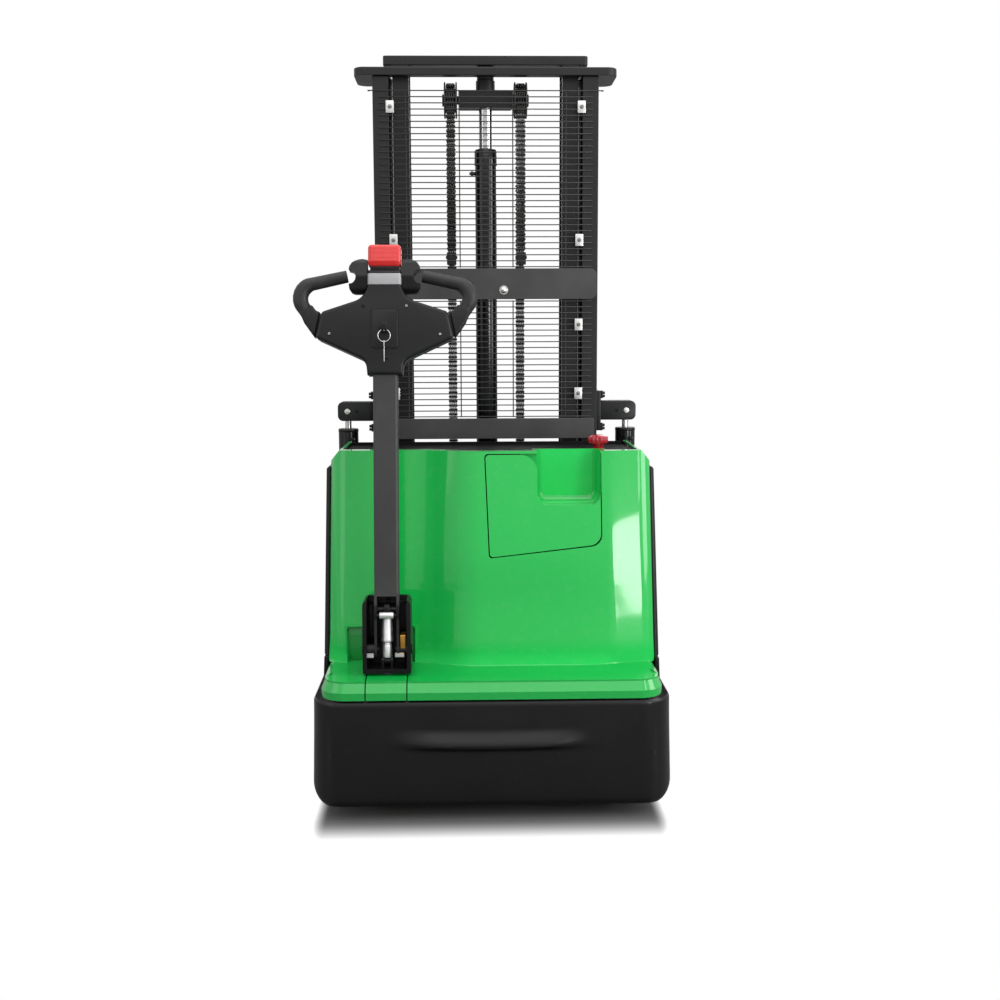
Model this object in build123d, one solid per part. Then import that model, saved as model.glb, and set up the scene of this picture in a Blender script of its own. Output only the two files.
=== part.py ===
from build123d import *
import math
import os

# Initial lift stacker: a pedestrian electric stacker whose mast and support legs rise together on two
# short side cylinders, while a central cylinder and two leaf chains raise the inner mast and the forks.
# Millimetres. +Z is up with the floor at Z = 0, the operator stands at -Y, the forks point to +Y.

# Driving dimensions: truck
TRUCK_WIDTH = 880.0
TRUCK_LENGTH = 2070.0
MAST_HEIGHT = 1920.0
BATTERY_LEFT = 340.0
BATTERY_RIGHT = 130.0
BATTERY_HEIGHT = 380.0
BATTERY_LID = 16.0
PUMP_X = 250.0
PUMP_WIDTH = 170.0
TANK_HEIGHT = 150.0
PUMP_MOTOR_D = 112.0
PUMP_HEIGHT = 370.0
PUMP_FLANGE = 50.0
PUMP_FLANGE_D = 130.0
UNITS_AHEAD = 130.0      # battery and tank ahead of the caster
UNITS_BEHIND = 20.0      # and behind the frame's front wall
LID_INSET = 5.0
TERMINAL_IN = 80.0       # battery terminals in from the ends of the case
GAP = 0.4            # between bodies that move past each other
SEAM = 0.3           # between covers that meet
RUN = 0.05           # radial running clearance of a shaft in its bore
PLATE = 8.0          # structural steel plate
SKIN = 4.0           # moulded cover wall

# Skirt and covers
SKIRT_BOTTOM = 30.0
SKIRT_TOP = 298.0
SKIRT_CORNER = 56.0
SKIRT_DEPTH = 430.0
SKIRT_WALL = 7.0
RIDGE_WIDTH = 480.0
RIDGE_OUT = 13.0
RIDGE_Z = 196.0
RIDGE_RISE = 52.0
LEDGE_Z = 350.0
LEDGE_INSET = 8.0
LEDGE_SIDE = 28.0
LEDGE_BEVEL = 18.0
HOOD_TOP = 875.0
HOOD_WIDTH_LOW = 828.0
HOOD_WIDTH_TOP = 816.0
HOOD_FACE_LOW = 145.0     # hood face behind the rear face of the skirt, at the ledge
HOOD_FACE_TOP = 235.0     # the same at the top edge
HOOD_CORNER = 60.0
HOOD_CLEAR = 60.0         # hood behind the mast rails
STEP_DEPTH = 45.0         # the part of the hood beside the tiller stands back by this
STEP_LOW = (-190.0, -122.0)    # where the step starts and ends across the hood, at its foot
STEP_TOP = (-211.0, -149.0)    # the same at its top
STEP_ROUND = 95.0
SHOULDER_WIDTH = 25.0     # bevel of the hood's upper corners
SHOULDER_DROP = 30.0
TRAY_RIM = 32.0
NICHE_WIDTH = 172.0
NICHE_HEIGHT = 112.0
NICHE_DEPTH = 56.0
DOOR_LEFT = -12.0
DOOR_RIGHT = 285.0
DOOR_LOW = 600.0
DOOR_SLOPE = 33.0
POCKET_LEFT = 118.0
POCKET_LOW = 742.0
POCKET_DEPTH = 62.0
DOOR_CORNER = 26.0
CONSOLE_DROP = 10.0
SIDE_PANEL_THICK = 12.0
TILLER_COVER_WIDTH = 97.0
STOP_KNOB_D = 46.0
STOP_X = 282.0
STOP_TRAVEL = 7.0
STOP_NECK = 12.0          # console to the pressed stop knob
STOP_CAP = 21.0
STOP_STEM_D = 27.6

# Chassis frame
CHASSIS_FLOOR = 262.0
FLOOR_INSET = 22.0
FLOOR_AHEAD = 70.0        # floor plate ahead of the rear face of the skirt
FRAME_SIDE = 42.0
FRAME_LOW = 150.0
FRAME_TOP = 830.0
FRAME_FRONT = 20.0
FRAME_SLOPE = 60.0
WALL_OPENING = (180.0, 360.0)  # opening in the front wall above its foot
BARREL_LOW = 350.0
BARREL_SEAT = 20.0

# Drive, steering and tiller
STEER_X = -255.0
STEER_BEHIND = 125.0      # steering axis behind the rear face of the skirt
DRIVE_WHEEL_D = 210.0
DRIVE_WHEEL_W = 72.0
DRIVE_TRAIL = 22.0
DRIVE_HUB_D = 150.0
COLUMN_D = 84.0
BRACKET_WIDTH = 117.0
BRACKET_WALL = 10.0
BRACKET_DEPTH = 84.0
BRACKET_TOP = 530.0
BRACKET_ROUND = 14.0
BRACKET_SLOPE = (20.0, 14.0)   # start of the cheeks' slope above the pivot, and its end behind it
PIVOT_Z = 405.0
PIVOT_PIN_D = 16.0
PIVOT_INNER = 20.0        # inner end of each pivot pin, clear of the gas spring
ARM_WIDTH = 60.0
ARM_DEPTH = 46.0
ARM_WALL = 4.0
ARM_LEAN = 8.0            # degrees from upright, towards the mast
ARM_LENGTH = 668.0        # pivot to the foot of the tiller head, along the arm
HEAD_WIDTH = 450.0
HEAD_HEIGHT = 317.0
HEAD_THICK = 64.0
GRIP_D = 32.0
GRIP_BEND = 36.0
GRIP_BEND_OUT = 6.8       # sharp corner of the grip's centre line beyond the head's half width
GRIP_UP = 243.0
GRIP_DROP = 30.0          # the same corner below the grip's inner end
GRIP_CLEAR = 5.0          # the grip ends this far from the throttle knob
SPRING_TUBE_D = 26.0
SPRING_ROD_D = 12.0
CASTER_WHEEL_D = 150.0
CASTER_WHEEL_W = 42.0
CASTER_TRAIL = 42.0
CASTER_AHEAD = 25.0       # caster swivel ahead of the steering axis
AXLE_D = 20.0
GEAR_CASE = 26.0
MOTOR_D = 130.0
GEAR_PLATE = 18.0         # top plate of the gear case
GEAR_NECK = 90.0
AXLE_SLEEVE_D = 30.0
AXLE_NUT_D = 44.0
HUB_BOSS_D = 70.0
HUB_RIM = 12.0
HUB_DISH = 14.0
CASTER_STEM_D = 36.0
CASTER_PLATE = 16.0
CASTER_PLATE_D = 96.0
CASTER_WEB = 18.0
CASTER_SPLIT = 24.0       # between the twin wheels
CASTER_RIM = 22.0
CASTER_DISH = 9.0
CASTER_BOSS_D = 48.0
AXLE_HEAD = 6.0
BRACKET_BEHIND = 60.0     # rear edge of the bracket behind the steering axis
PIVOT_BEHIND = 30.0       # tiller pivot behind the steering axis
ARM_FOOT = 130.0          # pivot to the end of the square tube
SPRING_EYE = 98.0         # pivot to the gas spring's cross pin, along the arm
SPRING_DROP = 28.0        # gas spring foot below the tiller pivot
SPRING_PLAY = 8.0
SPRING_SEAT = 14.0        # outer side of the lugs at the gas spring's foot
SPRING_LUG_D = 18.0
SPRING_PIN_D = 8.0
SPRING_EYE_W = 15.6
SPRING_TUBE_LOW = 46.0    # gas spring foot to the lower end of its tube
ARM_PLATE = 6.0
HEAD_COLUMN = 40.0        # half width of the head's middle column
HEAD_SHOULDER = 254.0
WING_X = 167.0
WING_LOW = 89.0
WING_HIGH = 153.0
WING_SLANT = 14.0
HEAD_FLARE = (6.0, 33.0)  # the column's flare below the wings: out and up
HEAD_FOOT = 3.0
HEAD_NECK = 190.0         # where the wings' upper edge meets the column
HEAD_ROUND = 9.0
KEY_PANEL = (64.0, 94.0, 8.0)  # width, height and corner radius
KEY_PANEL_UP = 110.0
THROTTLE_UP = 236.0
THROTTLE_SHAFT_D = 12.0
KNOB_X1 = 87.0
KNOB_OUTLINE = [(-20, -24), (-27, 4), (-16, 38), (4, 40), (20, 20), (22, -12), (10, -38), (-6, -38)]
THUMB_HOLLOW = (-46.0, 12.0, 26.0)  # place and radius of the hollow in a knob's face
BELLY_TRAVEL = 8.0
BELLY_SOCKET = 10.0
BELLY_WALL = 5.0
BELLY_LIP = 8.0
KEY_UP = 111.0
KEY_D = 29.0
KEY_SEAT = 12.0
KEY_BOW = (6.0, 20.0)     # thickness and height
KEY_BOW_OUT = 34.0
KEY_RING = (14.0, 1.4)    # radius of the ring and of its wire
KEY_RING_OUT = 26.0
ROCKER_W = 26.0
ROCKER_D = 40.0
ROCKER_IN = 18.0
ROCKER_UP = 140.0
ROCKER_MID = 4.0          # from the middle of the head to each rocker
ROCKER_FLAT = (3.0, 8.0)  # depth and height of the thumb flat

# Mast
MAST_WIDTH = 616.0
RAIL_FLANGE = 44.0
RAIL_DEPTH = 110.0
RAIL_WALL = 12.0
RAIL_GAP = 9.0
INNER_FLANGE = 45.0
INNER_AHEAD = 23.0        # inner rails sit this far ahead of the outer rails
MAST_REAR = 620.0         # rear face of the outer rails behind the rear face of the skirt
TIE_WIDTH = 716.0
TIE_THICK = 22.0
TIE_DEPTH = 160.0
TIE_STRIP = 20.0
TIE_CLEAR = 11.0
TOP_BAR_WIDTH = 560.0
TOP_BAR_THICK = 25.0
FOOT_THICK = 28.0
GUARD_BAR_LOW = 1263.0
GUARD_BAR_HIGH = 1347.0
GUARD_BAR_THICK = 5.0
CROSSBAR_LOW = 876.0
CROSSBAR_HIGH = 933.0
CROSSBAR_THICK = 10.0
WIRE = 3.2
WIRE_PITCH = 16.4
MESH_WIDTH = 584.0
MESH_INNER = 146.0
MESH_DROP = 97.0          # top wire below the top of the mast
CLIP_LEVELS = (1002.0, 1193.0, 1424.0, 1780.0)
CLIP_WIDTH = 24.0
CLIP_HEIGHT = 35.0
CLIP_THICK = 3.0
CYLINDER_D = 60.0
CYLINDER_DROP = 134.0     # top of the cylinder below the pulley axle
ROD_D = 38.0
CROSSHEAD_WIDTH = 150.0
CROSSHEAD_HEIGHT = 46.0
PULLEY_DROP = 109.0       # pulley axle below the top of the mast
PULLEY_D = 98.0
PULLEY_W = 36.0
PULLEY_AXLE_D = 22.0
CHAIN_X = 97.0
CHAIN_W = 26.0
CHAIN_PITCH = 19.05
CHAIN_PLATE = 17.0
ANCHOR_Z = 1392.0
ANCHOR_LUG_Z = 1300.0
ANCHOR_BOLT_D = 14.0
CHAIN_STEP = 4.0          # how far the inner plates stand back from the outer ones
CYLINDER_BORE = 48.0
ROLLER_STUB_D = 40.0
ROLLER_UP = 60.0
TIE_CORNER = 28.0
TIE_ROOM = 7.0            # notch of the tie beside the inner rails
GUARD_BAR_OUT = 12.0      # guard bar behind the rails
GUARD_BAR_IN = 4.0
GUARD_CORNER = 18.0
ANCHOR_LUG = (36.0, 30.0, 14.0)  # width, height, and depth beyond the chain
CROSSBAR_IN = 8.0
MESH_CLEAR = 5.0
CLIP_IN = 4.0
CLIP_SCREW_D = 10.0
CYLINDER_END = 30.0
CYLINDER_BASE = 20.0
BLEED_DROP = 64.0         # bleed screw below the top of the cylinder
BLEED_OUT = 16.0
BLEED_D = 14.0
PISTON = 40.0
PISTON_UP = 24.0
ROD_CAP_D = 53.2
CROSSHEAD_DEPTH = 50.0
PULLEY_FLANGE = 4.0
AXLE_END = 5.0
ANCHOR_NUT_D = 25.2
ANCHOR_NUT = 20.0
ANCHOR_THREAD = 34.0
ANCHOR_CLEVIS = (22.0, 32.0)     # depth and height
ANCHOR_PIN_D = 9.0
ANCHOR_PIN_DROP = 12.0
ANCHOR_PIN_OUT = 3.0

# Initial lift and legs
LIFT_X = 395.0
LIFT_BARREL_D = 56.0
LIFT_BARREL_TOP = 902.0
LIFT_ROD_D = 18.0
LIFT_PIN_Z = 952.0
LIFT_ARM_HEIGHT = 54.0
LIFT_PLATE_HEIGHT = 112.0
LIFT_PLATE_THICK = 26.0
LIFT_PIN_D = 16.0
LIFT_ROD_LOW = 500.0
CLEVIS = 26.0             # half width of the clevis arm
EYE = 10.0                # half width of the rod's eye
EYE_D = 36.0
EYE_ROOM = 34.0
LIFT_PLATE_DEPTH = 84.0
LIFT_BARREL_END = 30.0
LIFT_BORE_D = 42.0
LIFT_PISTON = 24.0
PORT_D = 9.0
PORT_X = 10.0
PORT_OUT = 4.0
STUD_LEVELS = (-48.0, -38.0, 38.0, 48.0)
STUD_BACK = 26.0
STUD_D = 8.0
STUD_OUT = 9.0
GUIDE = (50.0, 40.0)      # depth and height of the mast guides on the frame
GUIDE_LOW = 120.0
SADDLE_DROP = 60.0
FORK_SPREAD = 570.0
FORK_WIDTH = 180.0
FORK_LENGTH = 1150.0
FORK_TOP = 90.0
FORK_WALL = 8.0
FORK_HEIGHT = 58.0
FORK_TIP = 120.0
FORK_NOSE = [(-8.0, -26.0), (0.0, -18.0), (-6.0, -9.0)]  # nose of a fork, from its tip and top
FORK_ROUND = 6.0
SHANK_THICK = 36.0
SHANK_TOP = 560.0
LEG_WIDTH = 134.0
LEG_LOW = 24.0
LEG_TOP = 76.0
LEG_TIP_BACK = 130.0      # leg tip short of the fork tip
WHEEL_BACK = 190.0        # load wheel axle short of the fork tip
LOAD_WHEEL_D = 78.0
LOAD_WHEEL_W = 84.0
WHEEL_ARM = 180.0         # wheel arm pivot to load wheel axle
ARM_PIN_UP = 20.0
LOAD_AXLE_D = 18.0
PUSH_ROD_D = 14.0
ARM_PIN_D = 10.0
HOOK_DROP = 9.5
HOOK_WIDTH = 18.0
HOOK_BACK = 20.0
HOOK_AHEAD = 16.0
HOOK_TOP = 8.0
HOOK_PLAY = 1.2
ROD_START = 15.0          # push rod ahead of the rails' rear face
GUIDE_HALF = (16.0, 15.0, 13.0)  # half size of a push rod guide
GUIDE_PLACES = (250.0, 120.0)    # guides ahead of the fork face and behind the arm's pivot
LEG_CORNER = 20.0
WINDOW_RIM = 4.0
ARM_CHEEK = 6.0
ARM_PLAY = 2.0
ARM_HALF = 13.0
ARM_BOSS_D = 34.0
ARM_SLEEVE_D = 30.0
ARM_LUG = (12.0, 20.0)    # inner and outer side of the lugs that hold the push rod's pin
ARM_LUG_HALF = 8.0
ARM_LUG_UP = 7.0
WHEEL_ROOM = 46.0         # window half length round the load wheel
CARRIAGE_X = 208.0
CARRIAGE_LOW = 115.0
CARRIAGE_TOP = 480.0
CARRIAGE_BEHIND = 35.0    # rear face of the carriage plate behind the fork shanks
CARRIAGE_PLATE = 12.0
ROLLER_PLAY = 0.6
CHAIN_LUG_Z = 330.0
CHAIN_LUG_HEIGHT = 50.0
CHAIN_LUG_BACK = 9.5
ROLLER_IN = 46.0          # carriage rollers in from the ends of its side plates
BAR_LOW = 35.0
BAR_DROP = 80.0
BAR_HEIGHT = 60.0

# Values worked out from the driving dimensions
REAR = -TRUCK_LENGTH / 2
TIP = TRUCK_LENGTH / 2
HALF = TRUCK_WIDTH / 2
FORK_FACE = TIP - FORK_LENGTH
RAIL_Y0 = REAR + MAST_REAR
RAIL_Y1 = RAIL_Y0 + RAIL_DEPTH
RAIL_X1 = MAST_WIDTH / 2
RAIL_X0 = RAIL_X1 - RAIL_FLANGE
INNER_X1 = RAIL_X0 - RAIL_GAP
INNER_X0 = INNER_X1 - INNER_FLANGE
INNER_Y0 = RAIL_Y0 + INNER_AHEAD
INNER_Y1 = INNER_Y0 + RAIL_DEPTH
INNER_WEB = (INNER_X0 + INNER_X1) / 2
MAST_Y = (INNER_Y0 + INNER_Y1) / 2
RAIL_TOP = MAST_HEIGHT - TOP_BAR_THICK - TIE_THICK - TIE_CLEAR
FOOT_TOP = LEG_TOP + FOOT_THICK
INNER_LOW = FOOT_TOP + PLATE
INNER_TOP = MAST_HEIGHT - TOP_BAR_THICK
PULLEY_Z = MAST_HEIGHT - PULLEY_DROP
CYLINDER_TOP = PULLEY_Z - CYLINDER_DROP
MESH_TOP = MAST_HEIGHT - MESH_DROP
STEER_Y = REAR + STEER_BEHIND
DRIVE_Z = DRIVE_WHEEL_D / 2
LEDGE_Y = REAR + LEDGE_INSET
HOOD_Y_LOW = REAR + HOOD_FACE_LOW
HOOD_Y_TOP = REAR + HOOD_FACE_TOP
HOOD_FRONT = RAIL_Y0 - HOOD_CLEAR
CONSOLE_Z = HOOD_TOP - CONSOLE_DROP
FORK_X = (FORK_SPREAD - FORK_WIDTH) / 2
CHAIN_R = (PULLEY_D - CHAIN_PLATE) / 2
CHAIN_REAR_Y = MAST_Y - CHAIN_R
CHAIN_FRONT_Y = MAST_Y + CHAIN_R
LIFT_Y = (RAIL_Y0 + RAIL_Y1) / 2
WHEEL_Y = TIP - WHEEL_BACK
WHEEL_PIVOT_Y = WHEEL_Y - WHEEL_ARM
WHEEL_Z = LOAD_WHEEL_D / 2
CASTER_X = -STEER_X
CASTER_Y = STEER_Y + CASTER_AHEAD
SIDE_PLATE_X = HALF - FLOOR_INSET
FRAME_X = RAIL_X1 + FRAME_SIDE
PIVOT_Y = STEER_Y - PIVOT_BEHIND
SPRING_FOOT_Y = PIVOT_Y
SPRING_FOOT_Z = PIVOT_Z - SPRING_DROP
SPRING_TOP_Y = PIVOT_Y + SPRING_EYE * math.sin(math.radians(ARM_LEAN))
SPRING_TOP_Z = PIVOT_Z + SPRING_EYE * math.cos(math.radians(ARM_LEAN))
ORIGIN_X = -((STEER_X - HEAD_WIDTH / 2) + HALF) / 2
BOTH_SIDES = (-1, 1)

nodes = {}


def block(x0, x1, y0, y1, z0, z1):
    """Solid box between two corners."""
    size = (abs(x1 - x0), abs(y1 - y0), abs(z1 - z0))
    middle = Pos((x0 + x1) / 2, (y0 + y1) / 2, (z0 + z1) / 2)
    return middle * Box(*size)


def rod_x(x0, x1, y, z, d):
    """Round bar along X."""
    return Pos((x0 + x1) / 2, y, z) * Rot(0, 90, 0) * Cylinder(d / 2, abs(x1 - x0))


def rod_y(y0, y1, x, z, d):
    """Round bar along Y."""
    return Pos(x, (y0 + y1) / 2, z) * Rot(90, 0, 0) * Cylinder(d / 2, abs(y1 - y0))


def rod_z(z0, z1, x, y, d):
    """Round bar along Z."""
    return Pos(x, y, (z0 + z1) / 2) * Cylinder(d / 2, abs(z1 - z0))


def side_profile(points, x0, x1):
    """Closed outline of (y, z) points, drawn from x0 to x1."""
    face = make_face(Polyline(*points, close=True))
    return extrude(Plane.YZ.offset(min(x0, x1)) * face, abs(x1 - x0))


def front_profile(points, y0, y1):
    """Closed outline of (x, z) points, drawn from y0 to y1."""
    face = make_face(Polyline(*points, close=True))
    return extrude(Plane.XZ.offset(-max(y0, y1)) * face, abs(y1 - y0))


def plan_profile(points, z0, z1):
    """Closed outline of (x, y) points, drawn from z0 to z1."""
    face = make_face(Polyline(*points, close=True))
    return Pos(0, 0, z0) * extrude(face, z1 - z0)


def rounded_plan(width, y0, y1, corner, z):
    """Plan outline of a cover: rounded at the operator's end, square at the mast end."""
    half = width / 2
    line = Polyline((-half, y1), (-half, y0), (half, y0), (half, y1), close=True)
    face = make_face(line)
    rear = face.vertices().group_by(Axis.Y)[0]
    return Pos(0, 0, z) * fillet(rear, corner)


def both_sides(make):
    """The same piece on the left and on the right, made by a function of the side's sign."""
    return [make(side) for side in BOTH_SIDES]


def keep(name, *solids):
    """Put solids into a node, in the part's own frame."""
    flat = []
    for item in solids:
        flat.extend(Pos(ORIGIN_X, 0, 0) * solid for solid in item.solids())
    nodes[name] = flat


# Skirt and covers

def skirt():
    """Black bumper skirt: a tapered U wall with a long lens-shaped ridge and rounded lower corners."""
    face = REAR + RIDGE_OUT
    back = REAR + SKIRT_DEPTH
    lean = LEDGE_INSET / 2

    def wall(inset):
        low = rounded_plan(TRUCK_WIDTH - 2 * inset, face + inset, back, SKIRT_CORNER - inset, SKIRT_BOTTOM)
        high = rounded_plan(TRUCK_WIDTH - 2 * (inset + lean), face + inset + lean, back,
                            SKIRT_CORNER - inset, SKIRT_TOP)
        return loft([low, high])

    body = wall(0) - wall(SKIRT_WALL)
    outline = Pos(0, (SKIRT_TOP + SKIRT_BOTTOM) / 2) * Rectangle(TRUCK_WIDTH + 2, SKIRT_TOP - SKIRT_BOTTOM)
    low_corners = outline.vertices().group_by(Axis.Y)[0]
    silhouette = extrude(Plane.XZ.offset(-back - 1) * fillet(low_corners, SKIRT_CORNER * 0.6),
                         SKIRT_DEPTH + RIDGE_OUT + 2)
    return (body & silhouette) + ridge(face)


def ridge(face):
    """Long raised ridge across the skirt: tangent above, undercut below, fading out at both ends."""
    sections = []
    for share, out in ((-1, 0.1), (-0.62, 0.75), (0, 1), (0.62, 0.75), (1, 0.1)):
        tip = face - RIDGE_OUT * out
        height = RIDGE_RISE * (0.35 + 0.65 * out)
        outline = Polyline((face + SKIRT_WALL / 2 + 3, RIDGE_Z + height), (tip, RIDGE_Z),
                           (face + SKIRT_WALL / 2 + 3, RIDGE_Z - RIDGE_OUT), close=True)
        sections.append(Plane.YZ.offset(share * RIDGE_WIDTH / 2) * make_face(outline))
    return loft(sections)


def hood_plan(inset, low, level):
    """Plan outline of the hood at its foot or its top, stepped back beside the tiller."""
    half = (HOOD_WIDTH_LOW if low else HOOD_WIDTH_TOP) / 2 - inset
    face = (HOOD_Y_LOW if low else HOOD_Y_TOP) + inset
    back = HOOD_FRONT + (1 if inset else 0)
    start, end = STEP_LOW if low else STEP_TOP
    stepped = face + STEP_DEPTH
    outline = make_face(Polyline((-half, back), (-half, stepped), (start, stepped), (end, face), (half, face),
                                 (half, back), close=True))
    for x, y, radius in ((-half, stepped, HOOD_CORNER - inset), (start, stepped, STEP_ROUND + inset),
                         (end, face, STEP_ROUND - inset), (half, face, HOOD_CORNER - inset)):
        outline = fillet(outline.vertices().sort_by_distance((x, y, 0))[0], radius)
    return Pos(0, 0, level) * outline


def shoulder(side, inset):
    """Cutter that bevels one upper corner of the hood."""
    half = HOOD_WIDTH_TOP / 2
    reach = half - SHOULDER_WIDTH - 1.5 * inset
    slope = SHOULDER_DROP / SHOULDER_WIDTH
    outer = half + SHOULDER_WIDTH
    points = [(side * reach, HOOD_TOP), (side * (reach - 1), HOOD_TOP + 1), (side * outer, HOOD_TOP + 1),
              (side * outer, HOOD_TOP - slope * (outer - reach))]
    return front_profile(points, REAR, HOOD_FRONT + 2)


def hood_forms(inset):
    """Outer form of the hood with its ledge, or the inner form when inset by the wall."""
    upper = loft([hood_plan(inset, True, LEDGE_Z - SKIN - inset), hood_plan(inset, False, HOOD_TOP - inset)])
    for side in BOTH_SIDES:
        upper -= shoulder(side, inset)
    upper -= niche(inset)
    upper -= pocket(inset)
    ledge_back = REAR + SKIRT_DEPTH + (1 if inset else 0)
    outline = rounded_plan(TRUCK_WIDTH - 2 * (LEDGE_SIDE + inset), LEDGE_Y + RIDGE_OUT + inset, ledge_back,
                           SKIRT_CORNER - LEDGE_SIDE - inset, SKIRT_TOP + SEAM - (1 if inset else 0))
    ledge = extrude(outline, LEDGE_Z - inset - SKIRT_TOP - SEAM + (1 if inset else 0))
    rim = ledge.edges().group_by(Axis.Z)[-1].filter_by_position(Axis.Y, REAR, ledge_back - 2)
    ledge = chamfer(rim, LEDGE_BEVEL)
    return upper, ledge


def niche(inset):
    """Cutter of the recess behind the tiller bracket."""
    half = NICHE_WIDTH / 2 + inset
    return block(STEER_X - half, STEER_X + half, REAR, HOOD_Y_LOW + NICHE_DEPTH + inset,
                 LEDGE_Z - SKIN - 2, LEDGE_Z + NICHE_HEIGHT + inset)


def pocket(inset):
    """Cutter of the storage pocket, open to the operator and at the top."""
    hollow = block(POCKET_LEFT - inset, DOOR_RIGHT + inset, REAR, HOOD_Y_TOP + POCKET_DEPTH + inset,
                   POCKET_LOW - inset, HOOD_TOP + 1)
    return fillet(hollow.edges().filter_by(Axis.Y).group_by(Axis.Z)[0], DOOR_CORNER / 2 + inset)


def door_prism(margin):
    """Outline of the access panel, grown by a margin, drawn through the hood face and clear of the pocket."""
    left = DOOR_LEFT - margin
    right = DOOR_RIGHT + margin
    outline = make_face(Polyline((left, DOOR_LOW - margin), (right, DOOR_LOW + DOOR_SLOPE - margin),
                                 (right, HOOD_TOP + margin), (left, HOOD_TOP + margin), close=True))
    outline = fillet(outline.vertices().sort_by_distance((left, DOOR_LOW, 0))[0], DOOR_CORNER / 3)
    outline = fillet(outline.vertices().sort_by_distance((right, DOOR_LOW, 0))[0], DOOR_CORNER)
    slab = extrude(Plane.XZ.offset(-HOOD_Y_TOP) * outline, HOOD_FACE_TOP)
    return slab - pocket(SKIN + SEAM - margin)


def tray_prism(margin):
    """Opening in the hood's top for the console tray, clear of the storage pocket."""
    outline = hood_plan(TRAY_RIM + margin, False, CONSOLE_Z - 60)
    return extrude(outline, HOOD_TOP + 1 - CONSOLE_Z + 60) - pocket(2 * SKIN + margin)


def covers():
    """Hood, access panel, small tiller cover, console tray and side panels."""
    upper, ledge = hood_forms(0)
    upper_in, ledge_in = hood_forms(SKIN)
    shell = (upper + ledge) - (upper_in + ledge_in)
    shell -= rod_z(SKIRT_TOP, LEDGE_Z + 5, STEER_X, STEER_Y, COLUMN_D + 4 * GAP)
    half = TILLER_COVER_WIDTH / 2
    strip = block(STEER_X - half, STEER_X + half, REAR, STEER_Y, SKIRT_TOP, LEDGE_Z + 1)
    grown = block(STEER_X - half - SEAM, STEER_X + half + SEAM, REAR, STEER_Y, SKIRT_TOP, LEDGE_Z + 1)
    door = door_prism(0)
    keep("tiller_cover", shell & strip)
    keep("access_panel", shell & door)
    keep("hood", shell - grown - door_prism(SEAM) - tray_prism(0))
    tray = tray_prism(SEAM) & block(-HALF, HALF, REAR, HOOD_FRONT - SKIN, CONSOLE_Z - SKIN, CONSOLE_Z)
    curb = block(-HALF, HALF, HOOD_FRONT - 3 * SKIN, HOOD_FRONT - SKIN, CONSOLE_Z - SKIN, HOOD_TOP - 2)
    tray += tray_prism(SEAM) & curb
    tray -= rod_z(CONSOLE_Z - 20, CONSOLE_Z + 20, STOP_X, stop_y(), STOP_STEM_D + 2 * RUN)
    keep("console_tray", tray)
    keep("side_panels", *both_sides(side_panel))


def stop_y():
    """Depth of the stop knob on the console."""
    return HOOD_Y_TOP + POCKET_DEPTH + 3 * SKIN + STOP_KNOB_D / 2


def side_panel(side):
    """Black panel along the hood's side, leaning with it, its rear edge following the slope of the hood."""
    edge = HOOD_CORNER * 0.8 + (STEP_DEPTH if side < 0 else 0)
    top = HOOD_TOP - SHOULDER_DROP - 15
    low = LEDGE_Z + SEAM
    inner = HOOD_WIDTH_LOW / 2 + SEAM
    lean = (HOOD_WIDTH_LOW - HOOD_WIDTH_TOP) / 2 * (top - low) / (HOOD_TOP - LEDGE_Z)
    outer = inner + SIDE_PANEL_THICK
    slab = front_profile([(side * inner, low), (side * outer, low), (side * (outer - lean), top),
                          (side * (inner - lean), top)], REAR, HOOD_FRONT)
    outline = [(HOOD_Y_LOW + edge, low), (HOOD_Y_TOP + edge, top), (HOOD_FRONT, top), (HOOD_FRONT, low)]
    panel = slab & side_profile(outline, side * (inner - lean - 1), side * (outer + 1))
    return chamfer(panel.faces().sort_by(Axis.X)[-1 if side > 0 else 0].edges(), SIDE_PANEL_THICK * 0.5)


def stop_knob():
    """Red mushroom stop knob on its stem."""
    low = CONSOLE_Z + STOP_NECK + STOP_TRAVEL
    stem = rod_z(CONSOLE_Z - STOP_NECK - 2, low, STOP_X, stop_y(), STOP_STEM_D)
    cap = rod_z(low, low + STOP_CAP, STOP_X, stop_y(), STOP_KNOB_D)
    cap = fillet(cap.edges().group_by(Axis.Z)[-1], 6)
    keep("stop_knob", stem + cap)


keep("skirt", skirt())
covers()
stop_knob()


# Chassis and what it carries

def chassis_frame():
    """Welded frame: floor plate, front wall and side plates with mast guides and barrel seats."""
    floor = plan_profile([(-SIDE_PLATE_X, REAR + FLOOR_AHEAD), (SIDE_PLATE_X, REAR + FLOOR_AHEAD),
                          (SIDE_PLATE_X, HOOD_FRONT - GAP),
                          (-SIDE_PLATE_X, HOOD_FRONT - GAP)], CHASSIS_FLOOR - PLATE, CHASSIS_FLOOR)
    floor = fillet(floor.edges().filter_by(Axis.Z).group_by(Axis.Y)[0], SKIRT_CORNER)
    wall = block(-FRAME_X, FRAME_X, HOOD_FRONT, HOOD_FRONT + PLATE, FRAME_LOW, FRAME_TOP)
    wall -= block(-FRAME_X / 3, FRAME_X / 3, HOOD_FRONT - 1, HOOD_FRONT + PLATE + 1,
                  FRAME_LOW + WALL_OPENING[0], FRAME_LOW + WALL_OPENING[1])
    join = block(-FRAME_X, FRAME_X, HOOD_FRONT - 1, HOOD_FRONT + 1, CHASSIS_FLOOR - PLATE, CHASSIS_FLOOR)
    frame = floor + wall + join
    for side in BOTH_SIDES:
        frame += frame_side(side)
    for x, y, shaft in ((STEER_X, STEER_Y, MOTOR_D), (CASTER_X, CASTER_Y, CASTER_STEM_D)):
        frame -= rod_z(CHASSIS_FLOOR - 2 * PLATE, CHASSIS_FLOOR + PLATE, x, y, shaft + 2 * RUN)
    keep("chassis_frame", frame)


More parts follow.
